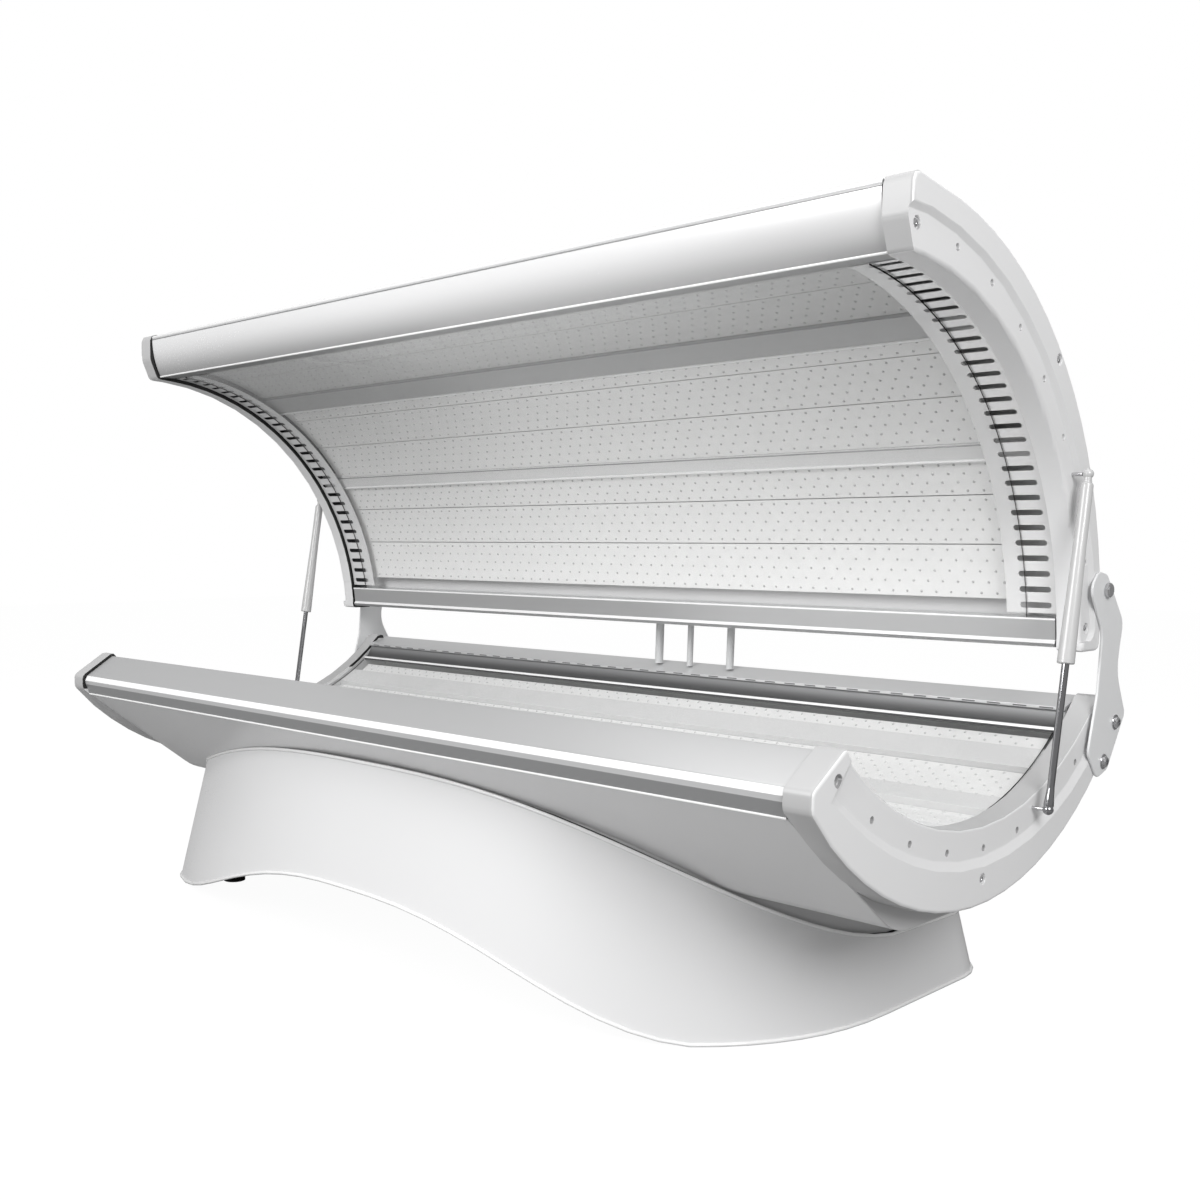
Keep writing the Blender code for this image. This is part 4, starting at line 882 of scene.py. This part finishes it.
def rear_rail_band(normal, middle):
    """Painted shade in the hollow under the rear rail's lip, and a painted highlight line on the bead below it."""
    drop = REAR_Z - middle.z
    if middle.y > REAR_Y - HOLLOW_BEFORE or drop < REAR_BANDS[0]:
        return 0
    return 2 if REAR_BANDS[1] < drop < REAR_BANDS[2] else 1


def nose_band(normal, middle):
    """Painted shade on the underside of the canopy's nose."""
    return 1 if middle.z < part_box("canopy_nose")[0].z + NOSE_UNDERSIDE else 0


def canopy_rail_band(normal, middle):
    """A flat band in painted half shade over a lip with a painted highlight on top and painted shade below, on the
    canopy's rear rail.
    """
    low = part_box("canopy_rear_rail")[0]
    if middle.y > low.y + CANOPY_FACE:
        return 0
    if middle.z > low.z + CANOPY_LIP:
        return 3
    return 2 if normal.z > 0 else 1


class BED_OT_body_shells(bpy.types.Operator):
    """Body skins, end plates and the bright extrusions along the base and the canopy"""
    bl_idname = "bed.body_shells"
    bl_label = "Shells and rails"

    def execute(self, context):
        sizes = context.scene.bed_sizes
        edge = sizes.sheet_edge
        refined("lower_shell", skin(), "base", edge)
        refined("canopy_shell", skin(), "canopy", edge)
        for label, _ in SIDES:
            # The base's end plates take the skin's painted shade
            refined("base_end_plate_" + label, neck_shade(), "base", edge)
            refined("canopy_end_plate_" + label, dark_steel(), "canopy", edge)
        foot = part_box("base_front_rail")[0].z
        refined("base_front_rail", [rail_slope(), rail_shade(), rail_light(), rail()], "base",
                edge, choose=front_rail_band, levels=[foot + rise for rise in FRONT_BANDS])
        refined("base_rear_rail", [rail(), rail_hollow(), rail_light()], "base", edge,
                choose=rear_rail_band, levels=[REAR_Z - drop for drop in REAR_BANDS])
        refined("canopy_nose", [nose_white(), rail_shade()], "canopy", edge, choose=nose_band)
        refined("canopy_rear_rail", [rail(), rail_shade(), rail_light(), rail_mid()], "canopy",
                edge, choose=canopy_rail_band)
        self.lines()
        self.rail_slots(sizes.slot_pitch)
        return {"FINISHED"}

    def lines(self):
        """Painted highlight lines on the lips, and a dark line on the nose, along the extrusions, set out from
        each one's box.
        """
        low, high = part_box("base_front_rail")
        line_bead("front_rail_lip", (low.y + 0.0112, low.z + 0.0012), 0.0024, rail_light(), "base")
        low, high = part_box("canopy_nose")
        line_bead("nose_groove", (low.y + 0.0010, high.z - 0.0096), 0.0015, rail_shade(), "canopy")
        line_bead("nose_lip", (low.y + 0.0216, low.z + 0.0016), 0.0022, rail_light(), "canopy")
        low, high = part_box("canopy_rear_rail")
        line_bead("canopy_rail_lip", (low.y + 0.0014, high.z - 0.0044), 0.0022, rail_light(), "canopy")

    def rail_slots(self, pitch):
        """Painted shade of the slots under the rear rail's lip, as thin dark blocks."""
        shape = bmesh.new()
        count = int(2 * HALF_BODY / pitch)
        at = (REAR_Y - SLOT_SHADE_BEFORE - SLOT_SHADE_DEPTH / 2, REAR_Z - SLOT_SHADE_UNDER)
        for i in range(count):
            made = bmesh.ops.create_cube(shape, size=1.0)["verts"]
            bmesh.ops.scale(shape, vec=(pitch * SLOT_SHADE_SHARE, SLOT_SHADE_DEPTH, SLOT_SHADE_HEIGHT), verts=made)
            bmesh.ops.translate(shape, vec=((i - (count - 1) / 2) * pitch, *at), verts=made)
        upright = [edge for edge in shape.edges if abs((edge.verts[0].co - edge.verts[1].co).normalized().y) > 0.9]
        round_edges(shape, upright, SLOT_SHADE_HEIGHT * 0.48, 3)
        piece("rear_rail_slot_liners", shape, slot_shadow(), "base")


# Plinth

NECK_IN = 0.009
NECK_BELOW = 0.030
NECK_SHEET = 0.002
NECK_GAP = 0.0005
SHADOW_RISE = 0.0025
BEAD_R = 0.0036
PLINTH_MIDDLE = Vector((0, 0.05, 0))


def rim_lines(node):
    """An upright sheet ring's edge lines by (up, out): top or foot, on the outer or the inner wall."""
    shape = copy_of(node, 0.05)
    middle = sum((vert.co for vert in shape.verts), Vector()) / len(shape.verts)
    lines = {(up, out): [] for up in (True, False) for out in (True, False)}
    for edge in shape.edges:
        flat = [face for face in edge.link_faces if abs(face.normal.z) > 0.6]
        wall = [face for face in edge.link_faces if abs(face.normal.z) <= 0.6]
        if len(flat) == 1 and len(wall) == 1:
            away = wall[0].calc_center_median() - middle
            away.z = 0
            lines[flat[0].normal.z > 0, wall[0].normal.dot(away) > 0].append(edge)
    lines = {key: walk(edges) for key, edges in lines.items()}
    shape.free()
    return lines


class BED_OT_plinth(bpy.types.Operator):
    """Waved plinth skirt, the frame inside it and the levelling feet"""
    bl_idname = "bed.plinth"
    bl_label = "Plinth"

    def execute(self, context):
        edge = context.scene.bed_sizes.sheet_edge
        refined("plinth_skirt", skin(), "base", edge * 1.5, 3, 50)
        lines = rim_lines("plinth_skirt")
        self.bead("skirt_bead_top", lines[True, True])
        self.bead("skirt_bead_foot", lines[False, True])
        self.neck(lines[True, False])
        refined("base_frame", dark_steel(), "base", edge)
        for end in ("front", "rear"):
            for label, _ in SIDES:
                refined("foot_%s_%s" % (end, label), black_rubber(), "base", edge)
        return {"FINISHED"}

    def bead(self, name, line):
        """A round bead on one of the skirt's edges, kept over the floor, that carries a painted highlight."""
        route = []
        for point, following in zip(line, line[1:] + line[:1]):
            if (point - following).length > 0.0005:
                route.append(Vector((point.x, point.y, max(point.z, BEAD_R))))
        piece(name, round_stock(route, BEAD_R, True, 2), rail_light(), "base", smooth=60)

    def neck(self, line):
        """The band that closes the room between the skirt's top and the belly, in the skin's painted shade, with a
        black painted shadow at its foot.
        """
        cover = skin_tree("lower_shell")
        shape = bmesh.new()
        rings = []
        for i, point in enumerate(line):
            along = line[(i + 1) % len(line)] - line[i - 1]
            inward = Vector((-along.y, along.x, 0)).normalized()
            if inward.dot(PLINTH_MIDDLE - Vector((point.x, point.y, 0))) < 0:
                inward.negate()
            foot = point + inward * NECK_IN - Vector((0, 0, NECK_BELOW))
            hit = cover.ray_cast(Vector((foot.x, foot.y, 0.01)), Vector((0, 0, 1)))[0]
            top = hit.z - NECK_GAP
            levels = (foot.z, min(point.z + SHADOW_RISE, top - NECK_GAP), top)
            rings.append([shape.verts.new((foot.x, foot.y, level)) for level in levels])
        faces = []
        # Each ring's lower band, up to just over the skirt's top, is black as a painted shadow; the upper band
        # takes the skin's painted shade
        for ring, following in zip(rings, rings[1:] + rings[:1]):
            for i in range(2):
                faces.append(shape.faces.new((ring[i], following[i], following[i + 1], ring[i + 1])))
                faces[-1].material_index = 1 - i
        bmesh.ops.recalc_face_normals(shape, faces=faces)
        bmesh.ops.solidify(shape, geom=faces, thickness=NECK_SHEET)
        piece("plinth_neck", shape, [neck_shade(), black_rubber()], "base")


# Lamps, with the angles of their boards' edges round the two centres

CANOPY_BOARDS = (("lower", (10.0, 19.2, 27.8, 34.1)), ("middle", (37.1, 46.1, 55.2, 59.0)),
                 ("upper", (65.0, 74.3, 83.6)))
CANOPY_BOARD_R = CANOPY_R + 0.017
BASE_BOARDS = ((-57.7, -53.6), (-73.0, -63.0), (-88.3, -78.3), (-103.6, -93.6), (-118.9, -108.9))
BASE_BOARD_R = TROUGH_R + 0.0255
BOARD_SHEET = 0.0016
# Lines along the canopy's dividers: name, angle of a painted highlight at the lower edge, angle of a painted shade
# line at the upper edge
DIVIDER_LINES = (("lower", 34.25, 37.0), ("upper", 59.15, 64.9))
DIVIDER_R = CANOPY_R + 0.0115


class BED_OT_lamps(bpy.types.Operator):
    """Lamp boards with their lamps, the dividers between them and the clear covers"""
    bl_idname = "bed.lamps"
    bl_label = "Lamps and covers"

    def execute(self, context):
        sizes = context.scene.bed_sizes
        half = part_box("canopy_led_panel_lower")[1].x
        for name, edges in CANOPY_BOARDS:
            self.boards(sizes, "canopy_led_panel_" + name, "canopy", CANOPY, CANOPY_BOARD_R,
                        list(zip(edges, edges[1:])), half, sizes.canopy_row_pitch,
                        shaded_board() if name == "upper" else lamp_board())
        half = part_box("base_led_board_1")[1].x
        for i, edges in enumerate(BASE_BOARDS, 1):
            self.boards(sizes, "base_led_board_%d" % i, "base", TROUGH, BASE_BOARD_R, [edges], half,
                        sizes.base_row_pitch, base_board())
        for i in range(4):
            refined("base_divider_%d" % (i + 1), base_divider(), "base", sizes.sheet_edge)
        # The upper canopy divider takes the rail's painted half shade, as it lies in the nose's shade
        for name, divider in (("lower", white_sheet()), ("upper", rail_mid())):
            refined("canopy_divider_" + name, divider, "canopy", sizes.sheet_edge)
        for name, low, high in DIVIDER_LINES:
            lip, shaded_edge = polar(CANOPY, DIVIDER_R - 0.001, low), polar(CANOPY, DIVIDER_R, high)
            line_bead("divider_lip_" + name, lip, 0.0030, rail_light(), "canopy")
            line_bead("divider_groove_" + name, shaded_edge, 0.0014, rail_shade(), "canopy")
        for node, body in (("base_acrylic", "base"), ("canopy_acrylic", "canopy")):
            shape = copy_of(node)
            for face in shape.faces:
                face.material_index = 1 if abs(face.normal.x) > 0.9 else 0
            piece(node + "_cover", shape, [clear_acrylic(), black_rubber()], body, [node])
        return {"FINISHED"}

    def boards(self, sizes, node, body, centre, radius, boards, half, pitch, board):
        """The boards of one panel, with rows of lamps on the side that faces the centre."""
        sheets, lamps = bmesh.new(), bmesh.new()
        seam = degrees(sizes.board_seam / 2 / radius)
        row = self.lamp_row(sizes, half)
        for start, end in boards:
            steps = max(3, int((end - start) / 1.5))
            arc_sheet(sheets, centre, radius, start + seam, end - seam, steps, half, BOARD_SHEET)
            count = max(2, round(radians(end - start) * radius / pitch))
            for i in range(count):
                angle = start + (end - start) * (i + 0.5) / count
                shift = sizes.lamp_pitch / 2 if i % 2 else 0.0
                stand = row.copy()
                stand.transform(Matrix.Translation((0, *centre)) @ Matrix.Rotation(radians(angle + 90), 4, "X")
                                @ Matrix.Translation((shift, 0, -radius)))
                lamps.from_mesh(stand)
                bpy.data.meshes.remove(stand)
        bpy.data.meshes.remove(row)
        piece(node + "_boards", sheets, board, body, [node])
        piece(node + "_lamps", lamps, lamp_lens(), body)

    def lamp_row(self, sizes, half):
        """One row of lamps along X as a mesh, each a faceted dome that rises along +Z."""
        shape = bmesh.new()
        count = int((2 * half - sizes.lamp_pitch) / sizes.lamp_pitch)
        for i in range(count):
            x = (i - count / 2) * sizes.lamp_pitch + sizes.lamp_pitch / 4
            bmesh.ops.create_cone(shape, cap_ends=True, segments=10, radius1=sizes.lamp_radius,
                                  radius2=sizes.lamp_radius * 0.6, depth=sizes.lamp_height,
                                  matrix=Matrix.Translation((x, 0, sizes.lamp_height / 2)))
        return mesh_of("lamp_row", shape)


# Vent strips, with the slots' pitch and first place in degrees round the canopy's centre

STRIP_WIDTH = 0.090
STRIP_SHEET = 0.0012
SLOT_COUNT = 29
SLOT_PITCH = 2.616
FIRST_SLOT = 9.56
SLOT_LENGTH = 0.057
SLOT_WIDTH = 0.0106
SLOT_MARGIN = 0.008
RIM_STEPS = 8
CELL_STEPS = 6


class BED_OT_vent_strips(bpy.types.Operator):
    """Polished vent strips with a row of slots, bent to the lamp arc"""
    bl_idname = "bed.vent_strips"
    bl_label = "Vent strips"

    def execute(self, context):
        step = radians(SLOT_PITCH) * CANOPY_R
        for label, side in SIDES:
            shape = bmesh.new()
            for i in range(SLOT_COUNT):
                self.cell(shape, side, step * i, step)
            bmesh.ops.remove_doubles(shape, verts=shape.verts, dist=WELD)
            bmesh.ops.recalc_face_normals(shape, faces=shape.faces)
            if sum(face.normal.z for face in shape.faces) > 0:
                bmesh.ops.reverse_faces(shape, faces=shape.faces)
            bmesh.ops.solidify(shape, geom=shape.faces[:], thickness=STRIP_SHEET)
            for vert in shape.verts:
                angle = FIRST_SLOT + vert.co.y / step * SLOT_PITCH
                vert.co = (vert.co.x, *polar(CANOPY, CANOPY_R + vert.co.z, angle))
            bmesh.ops.recalc_face_normals(shape, faces=shape.faces)
            piece("slotted_strip_%s_bent" % label, shape, polished(), "canopy",
                  ["slotted_strip_" + label])
        return {"FINISHED"}

    def cell(self, shape, side, along, step):
        """One flat pitch of strip round its slot: the slot's rim is a capsule."""
        outer = side * HALF_BODY
        inner = side * (HALF_BODY - STRIP_WIDTH)
        middle = side * (HALF_BODY - SLOT_MARGIN - SLOT_LENGTH / 2)
        radius = SLOT_WIDTH / 2
        reach = SLOT_LENGTH / 2 - radius
        rim = []
        for end in (1, -1):
            for k in range(RIM_STEPS + 1):
                turn = radians(180 * k / RIM_STEPS - 90 * end)
                rim.append((middle + end * reach + radius * cos(turn), along + radius * sin(turn)))
        xs = [inner + (outer - inner) * k / CELL_STEPS for k in range(CELL_STEPS + 1)]
        border = [(x, along - step / 2) for x in xs] + [(x, along + step / 2) for x in reversed(xs)]
        edges = []
        for line in (rim, border):
            verts = [shape.verts.new((x, y, 0)) for x, y in line]
            edges += [shape.edges.new(pair) for pair in zip(verts, verts[1:] + verts[:1])]
        bmesh.ops.triangle_fill(shape, edges=edges, use_beauty=True)


# Hinges, with a link plate's bolts as (y, z) steps from the canopy's centre

LINK_BOLTS = ((0.750, -0.110), (0.706, -0.177))
LINK_SHEET = 0.005
LINK_GAP = 0.0003
LINK_ROUND = 0.0024
PIVOT_EDGE = 0.0006
LINK_BOLT_R = 0.0105
LINK_BOLT_HEIGHT = 0.0075
WASHER = ((0, 0.0014), (0.0135, 0.0014), (0.0140, 0.0008), (0.0140, 0.0), (0, 0))


class BED_OT_hinges(bpy.types.Operator):
    """Link plates with their bolts, and the canopy's pivot bolts"""
    bl_idname = "bed.hinges"
    bl_label = "Hinges"

    def execute(self, context):
        for label, side in SIDES:
            refined("link_plate_" + label, painted_link(), "base", LINK_ROUND, 3)
            bolt = "pivot_bolt_" + label
            shape = copy_of(bolt)
            round_edges(shape, sharp_edges(shape, 50), PIVOT_EDGE, 2)
            piece(bolt + "_turned", shape, satin_steel(), "base", [bolt])
            heads = bmesh.new()
            for step in LINK_BOLTS:
                place = facing_x(side, CAP_OUT + LINK_GAP + LINK_SHEET, from_centre(step))
                turned(heads, screw_profile(LINK_BOLT_R, LINK_BOLT_HEIGHT), place, 28)
                turned(heads, WASHER, place, 28)
            piece("link_bolts_" + label, heads, satin_steel(), "base")
        return {"FINISHED"}


# Struts, turned about an axis that runs from the lower ball at height 0 to the upper one

STRUT_LENGTH = 0.5621
TUBE_LENGTH = 0.318
TUBE_FOOT = STRUT_LENGTH - TUBE_LENGTH
TUBE_R = 0.0105
TUBE_FOOT_R = 0.0140
ROD_R = 0.006
ROD_HIDDEN = 0.035
ROD_GAP = 0.0006
SOCKET_R = 0.0088
STUD_EDGE = 0.0004


def ball_line(height, first, last):
    """The part of a ball socket's profile between two angles, from the top down."""
    return [(SOCKET_R * cos(radians(turn)), height + SOCKET_R * sin(radians(turn)))
            for turn in range(first, last, -12)]


class BED_OT_struts(bpy.types.Operator):
    """Gas struts: chromed rods, white tapered tubes and their ball studs"""
    bl_idname = "bed.struts"
    bl_label = "Struts"

    def execute(self, context):
        axis = JOINTS["strut_stroke_right"]["axis"]
        tilt = -atan2(axis[1], axis[2])
        for label, side in SIDES:
            place = Matrix.Translation((side * STRUT_X, *STRUT_LOW)) @ Matrix.Rotation(tilt, 4, "X")
            self.rod("strut_rod_" + label, place)
            self.tube("strut_tube_" + label, place)
            for end, body in (("lower", "base"), ("upper", "canopy")):
                refined("%s_ball_stud_%s" % (end, label), satin_steel(), body, STUD_EDGE)
        return {"FINISHED"}

    def rod(self, node, place):
        top = TUBE_FOOT + ROD_HIDDEN
        neck = [(ROD_R, 0.040), (ROD_R * 1.02, 0.036), (ROD_R * 1.15, 0.024), (SOCKET_R * 0.95, 0.008)]
        shape = bmesh.new()
        turned(shape, [(0, top), (ROD_R, top), *neck, *ball_line(0, 30, -90), (0, -SOCKET_R)], place, 32)
        piece(node + "_chromed", shape, rod_steel(), node, [node])

    def tube(self, node, place):
        top, bore = STRUT_LENGTH, ROD_R + ROD_GAP
        shoulder = [(0.0063, top - 0.014), (0.0095, top - 0.0165), (TUBE_R, top - 0.020), (TUBE_R, top - 0.120)]
        foot = [(TUBE_FOOT_R, TUBE_FOOT + 0.010), (TUBE_FOOT_R, TUBE_FOOT + 0.0012), (0.0128, TUBE_FOOT)]
        inside = [(bore, TUBE_FOOT), (bore, top - 0.030), (0, top - 0.030)]
        shape = bmesh.new()
        turned(shape, [(0, top + SOCKET_R), *ball_line(top, 78, -50), *shoulder, *foot, *inside], place, 36)
        piece(node + "_white", shape, strut_white(), node, [node])


# Conduits

CONDUIT_BEND = 0.078
CONDUIT_TURN = 65.0
CONDUIT_LEAN = 0.005
RISE_STEPS = 8
BEND_STEPS = 12


class BED_OT_conduits(bpy.types.Operator):
    """Flexible conduits that carry the canopy's wiring"""
    bl_idname = "bed.conduits"
    bl_label = "Conduits"

    def execute(self, context):
        for node in ("conduit_1", "conduit_2", "conduit_3"):
            low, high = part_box(node)
            radius = (high.x - low.x) / 2
            line = self.middle_line(high.y - radius, low.z, high.z - radius * sin(radians(CONDUIT_TURN)))
            route = [Vector(((high.x + low.x) / 2, y, z)) for y, z in line]
            self.conduit(node, radius, route)
        return {"FINISHED"}

    def middle_line(self, rear, foot, end):
        """The (y, z) points of a conduit: nearly upright, then bent forwards into the canopy."""
        centre = (rear - CONDUIT_BEND, end - CONDUIT_BEND * sin(radians(CONDUIT_TURN)))
        low = rear - CONDUIT_LEAN
        rise = [(low + (rear - low) * k / RISE_STEPS, foot + (centre[1] - foot) * k / RISE_STEPS)
                for k in range(RISE_STEPS)]
        return rise + [polar(centre, CONDUIT_BEND, CONDUIT_TURN * k / BEND_STEPS) for k in range(BEND_STEPS + 1)]

    def conduit(self, node, radius, route):
        hose = dressed(node + "_hose", round_stock(route, radius, fineness=6), grey_hose(), 40)
        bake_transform(hose)
        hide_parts(node)


class BED_OT_machines(bpy.types.Operator):
    """Power supplies and cooling fans inside the belly"""
    bl_idname = "bed.machines"
    bl_label = "Supplies and fans"

    def execute(self, context):
        edge = context.scene.bed_sizes.sheet_edge
        for label, _ in SIDES:
            refined("power_supply_" + label, dark_steel(), "base", edge)
            refined("fan_housing_" + label, black_rubber(), "base", edge)
            refined("fan_rotor_" + label, black_rubber(), "fan_rotor_" + label, edge / 2)
        return {"FINISHED"}


# Stage

FLOOR_HALF = 14.0
FLOOR_GREY = 0.30
FLOOR_ROUGHNESS = 0.9
FLOOR_GLOW = 1.205
GLOW_SHARE = 0.80
AROUND_OBJECT = 0.40
AROUND_CAMERA = 1.0

# Square area lamps: name, place, aim, size and power
LAMPS = (("overhead_softbox", (0.2, -0.2, 3.4), (0, 0, 0.4), 3.0, 52),
         ("front_softbox", (-0.8, -4.4, 3.0), (0, 0, 0.6), 2.6, 165),
         ("side_softbox", (4.2, -2.0, 2.9), (0.8, 0, 0.8), 2.0, 135),
         ("canopy_fill", (0.2, -0.34, 0.62), (0.2, 0.42, 0.95), 1.0, 2.0))

CAMERA_PLACE = (2.022, -1.694 + CANOPY[0], 0.222 + CANOPY[1])
CAMERA_TURN = (radians(83.8), 0, radians(46.16))
CAMERA_LENS = 39.89
CAMERA_SENSOR = 36.0
CAMERA_SHIFT = (0.0773, 0.0683)


class BED_OT_stage(bpy.types.Operator):
    """Pale floor, soft studio lamps, white surroundings and the camera"""
    bl_idname = "bed.stage"
    bl_label = "Stage"

    def execute(self, context):
        scene = context.scene
        scene.view_settings.view_transform = "Standard"
        for old in [thing for thing in scene.objects if thing.type in {"LIGHT", "CAMERA"}]:
            bpy.data.objects.remove(old)
        self.floor()
        self.surroundings(scene)
        for lamp in LAMPS:
            self.lamp(*lamp)
        self.camera(scene)
        return {"FINISHED"}

    def floor(self):
        """A matt floor that also glows a little to the camera, so that it nearly meets the white around it."""
        shape = bmesh.new()
        bmesh.ops.create_grid(shape, x_segments=2, y_segments=2, size=FLOOR_HALF)
        ground = placed("floor", mesh_of("floor", shape))
        pale = bpy.data.materials.new("pale_floor")
        pale.use_nodes = True
        tree = pale.node_tree
        shader = tree.nodes["Principled BSDF"]
        shader.inputs["Base Color"].default_value = (FLOOR_GREY, FLOOR_GREY, FLOOR_GREY, 1)
        shader.inputs["Roughness"].default_value = FLOOR_ROUGHNESS
        glow = tree.nodes.new("ShaderNodeEmission")
        glow.inputs["Strength"].default_value = FLOOR_GLOW
        path = tree.nodes.new("ShaderNodeLightPath")
        share = math_node(tree, "MULTIPLY", path.outputs["Is Camera Ray"], GLOW_SHARE)
        mix_surface(tree, share, shader.outputs["BSDF"], glow.outputs["Emission"])
        ground.data.materials.append(pale)

    def surroundings(self, scene):
        """White to the camera, dimmer to the object."""
        world = bpy.data.worlds.new("white_surroundings")
        scene.world = world
        world.use_nodes = True
        tree = world.node_tree
        back = tree.nodes["Background"]
        back.inputs["Color"].default_value = (1, 1, 1, 1)
        path = tree.nodes.new("ShaderNodeLightPath")
        level = math_node(tree, "MULTIPLY_ADD", path.outputs["Is Camera Ray"], AROUND_CAMERA - AROUND_OBJECT,
                          AROUND_OBJECT)
        tree.links.new(level, back.inputs["Strength"])

    def lamp(self, name, place, aim, size, power):
        light = bpy.data.lights.new(name, "AREA")
        light.shape = "SQUARE"
        light.size = size
        light.energy = power
        made = placed(name, light)
        made.location = place
        made.rotation_euler = (Vector(aim) - Vector(place)).to_track_quat("-Z", "Y").to_euler()
        made.visible_camera = False

    def camera(self, scene):
        data = bpy.data.cameras.new("camera")
        data.lens = CAMERA_LENS
        data.sensor_width = CAMERA_SENSOR
        data.shift_x, data.shift_y = CAMERA_SHIFT
        made = placed("camera", data)
        made.location = CAMERA_PLACE
        made.rotation_euler = CAMERA_TURN
        scene.camera = made


class BED_PT_pieces(bpy.types.Panel):
    """Lists the bed's pieces and its sizes and colours"""
    bl_label = "Light therapy bed"
    bl_space_type = "VIEW_3D"
    bl_region_type = "UI"
    bl_category = "Bed"

    def draw(self, context):
        for operator in OPERATORS:
            self.layout.operator(operator.bl_idname)
        for group in (context.scene.bed_sizes, context.scene.bed_colours):
            for name in group.__annotations__:
                self.layout.prop(group, name)


OPERATORS = (BED_OT_stage, BED_OT_end_caps, BED_OT_body_shells, BED_OT_plinth, BED_OT_lamps, BED_OT_vent_strips,
             BED_OT_hinges, BED_OT_struts, BED_OT_conduits, BED_OT_machines)
CLASSES = (BedSizes, BedColours, *OPERATORS, BED_PT_pieces)


def register():
    for one in CLASSES:
        bpy.utils.register_class(one)
    bpy.types.Scene.bed_sizes = PointerProperty(type=BedSizes)
    bpy.types.Scene.bed_colours = PointerProperty(type=BedColours)


def unregister():
    del bpy.types.Scene.bed_sizes
    del bpy.types.Scene.bed_colours
    for one in reversed(CLASSES):
        bpy.utils.unregister_class(one)


def main():
    register()
    bpy.ops.bed.stage()
    bpy.ops.bed.end_caps()
    bpy.ops.bed.body_shells()
    bpy.ops.bed.plinth()
    bpy.ops.bed.lamps()
    bpy.ops.bed.vent_strips()
    bpy.ops.bed.hinges()
    bpy.ops.bed.struts()
    bpy.ops.bed.conduits()
    bpy.ops.bed.machines()


if __name__ == "__main__":
    main()
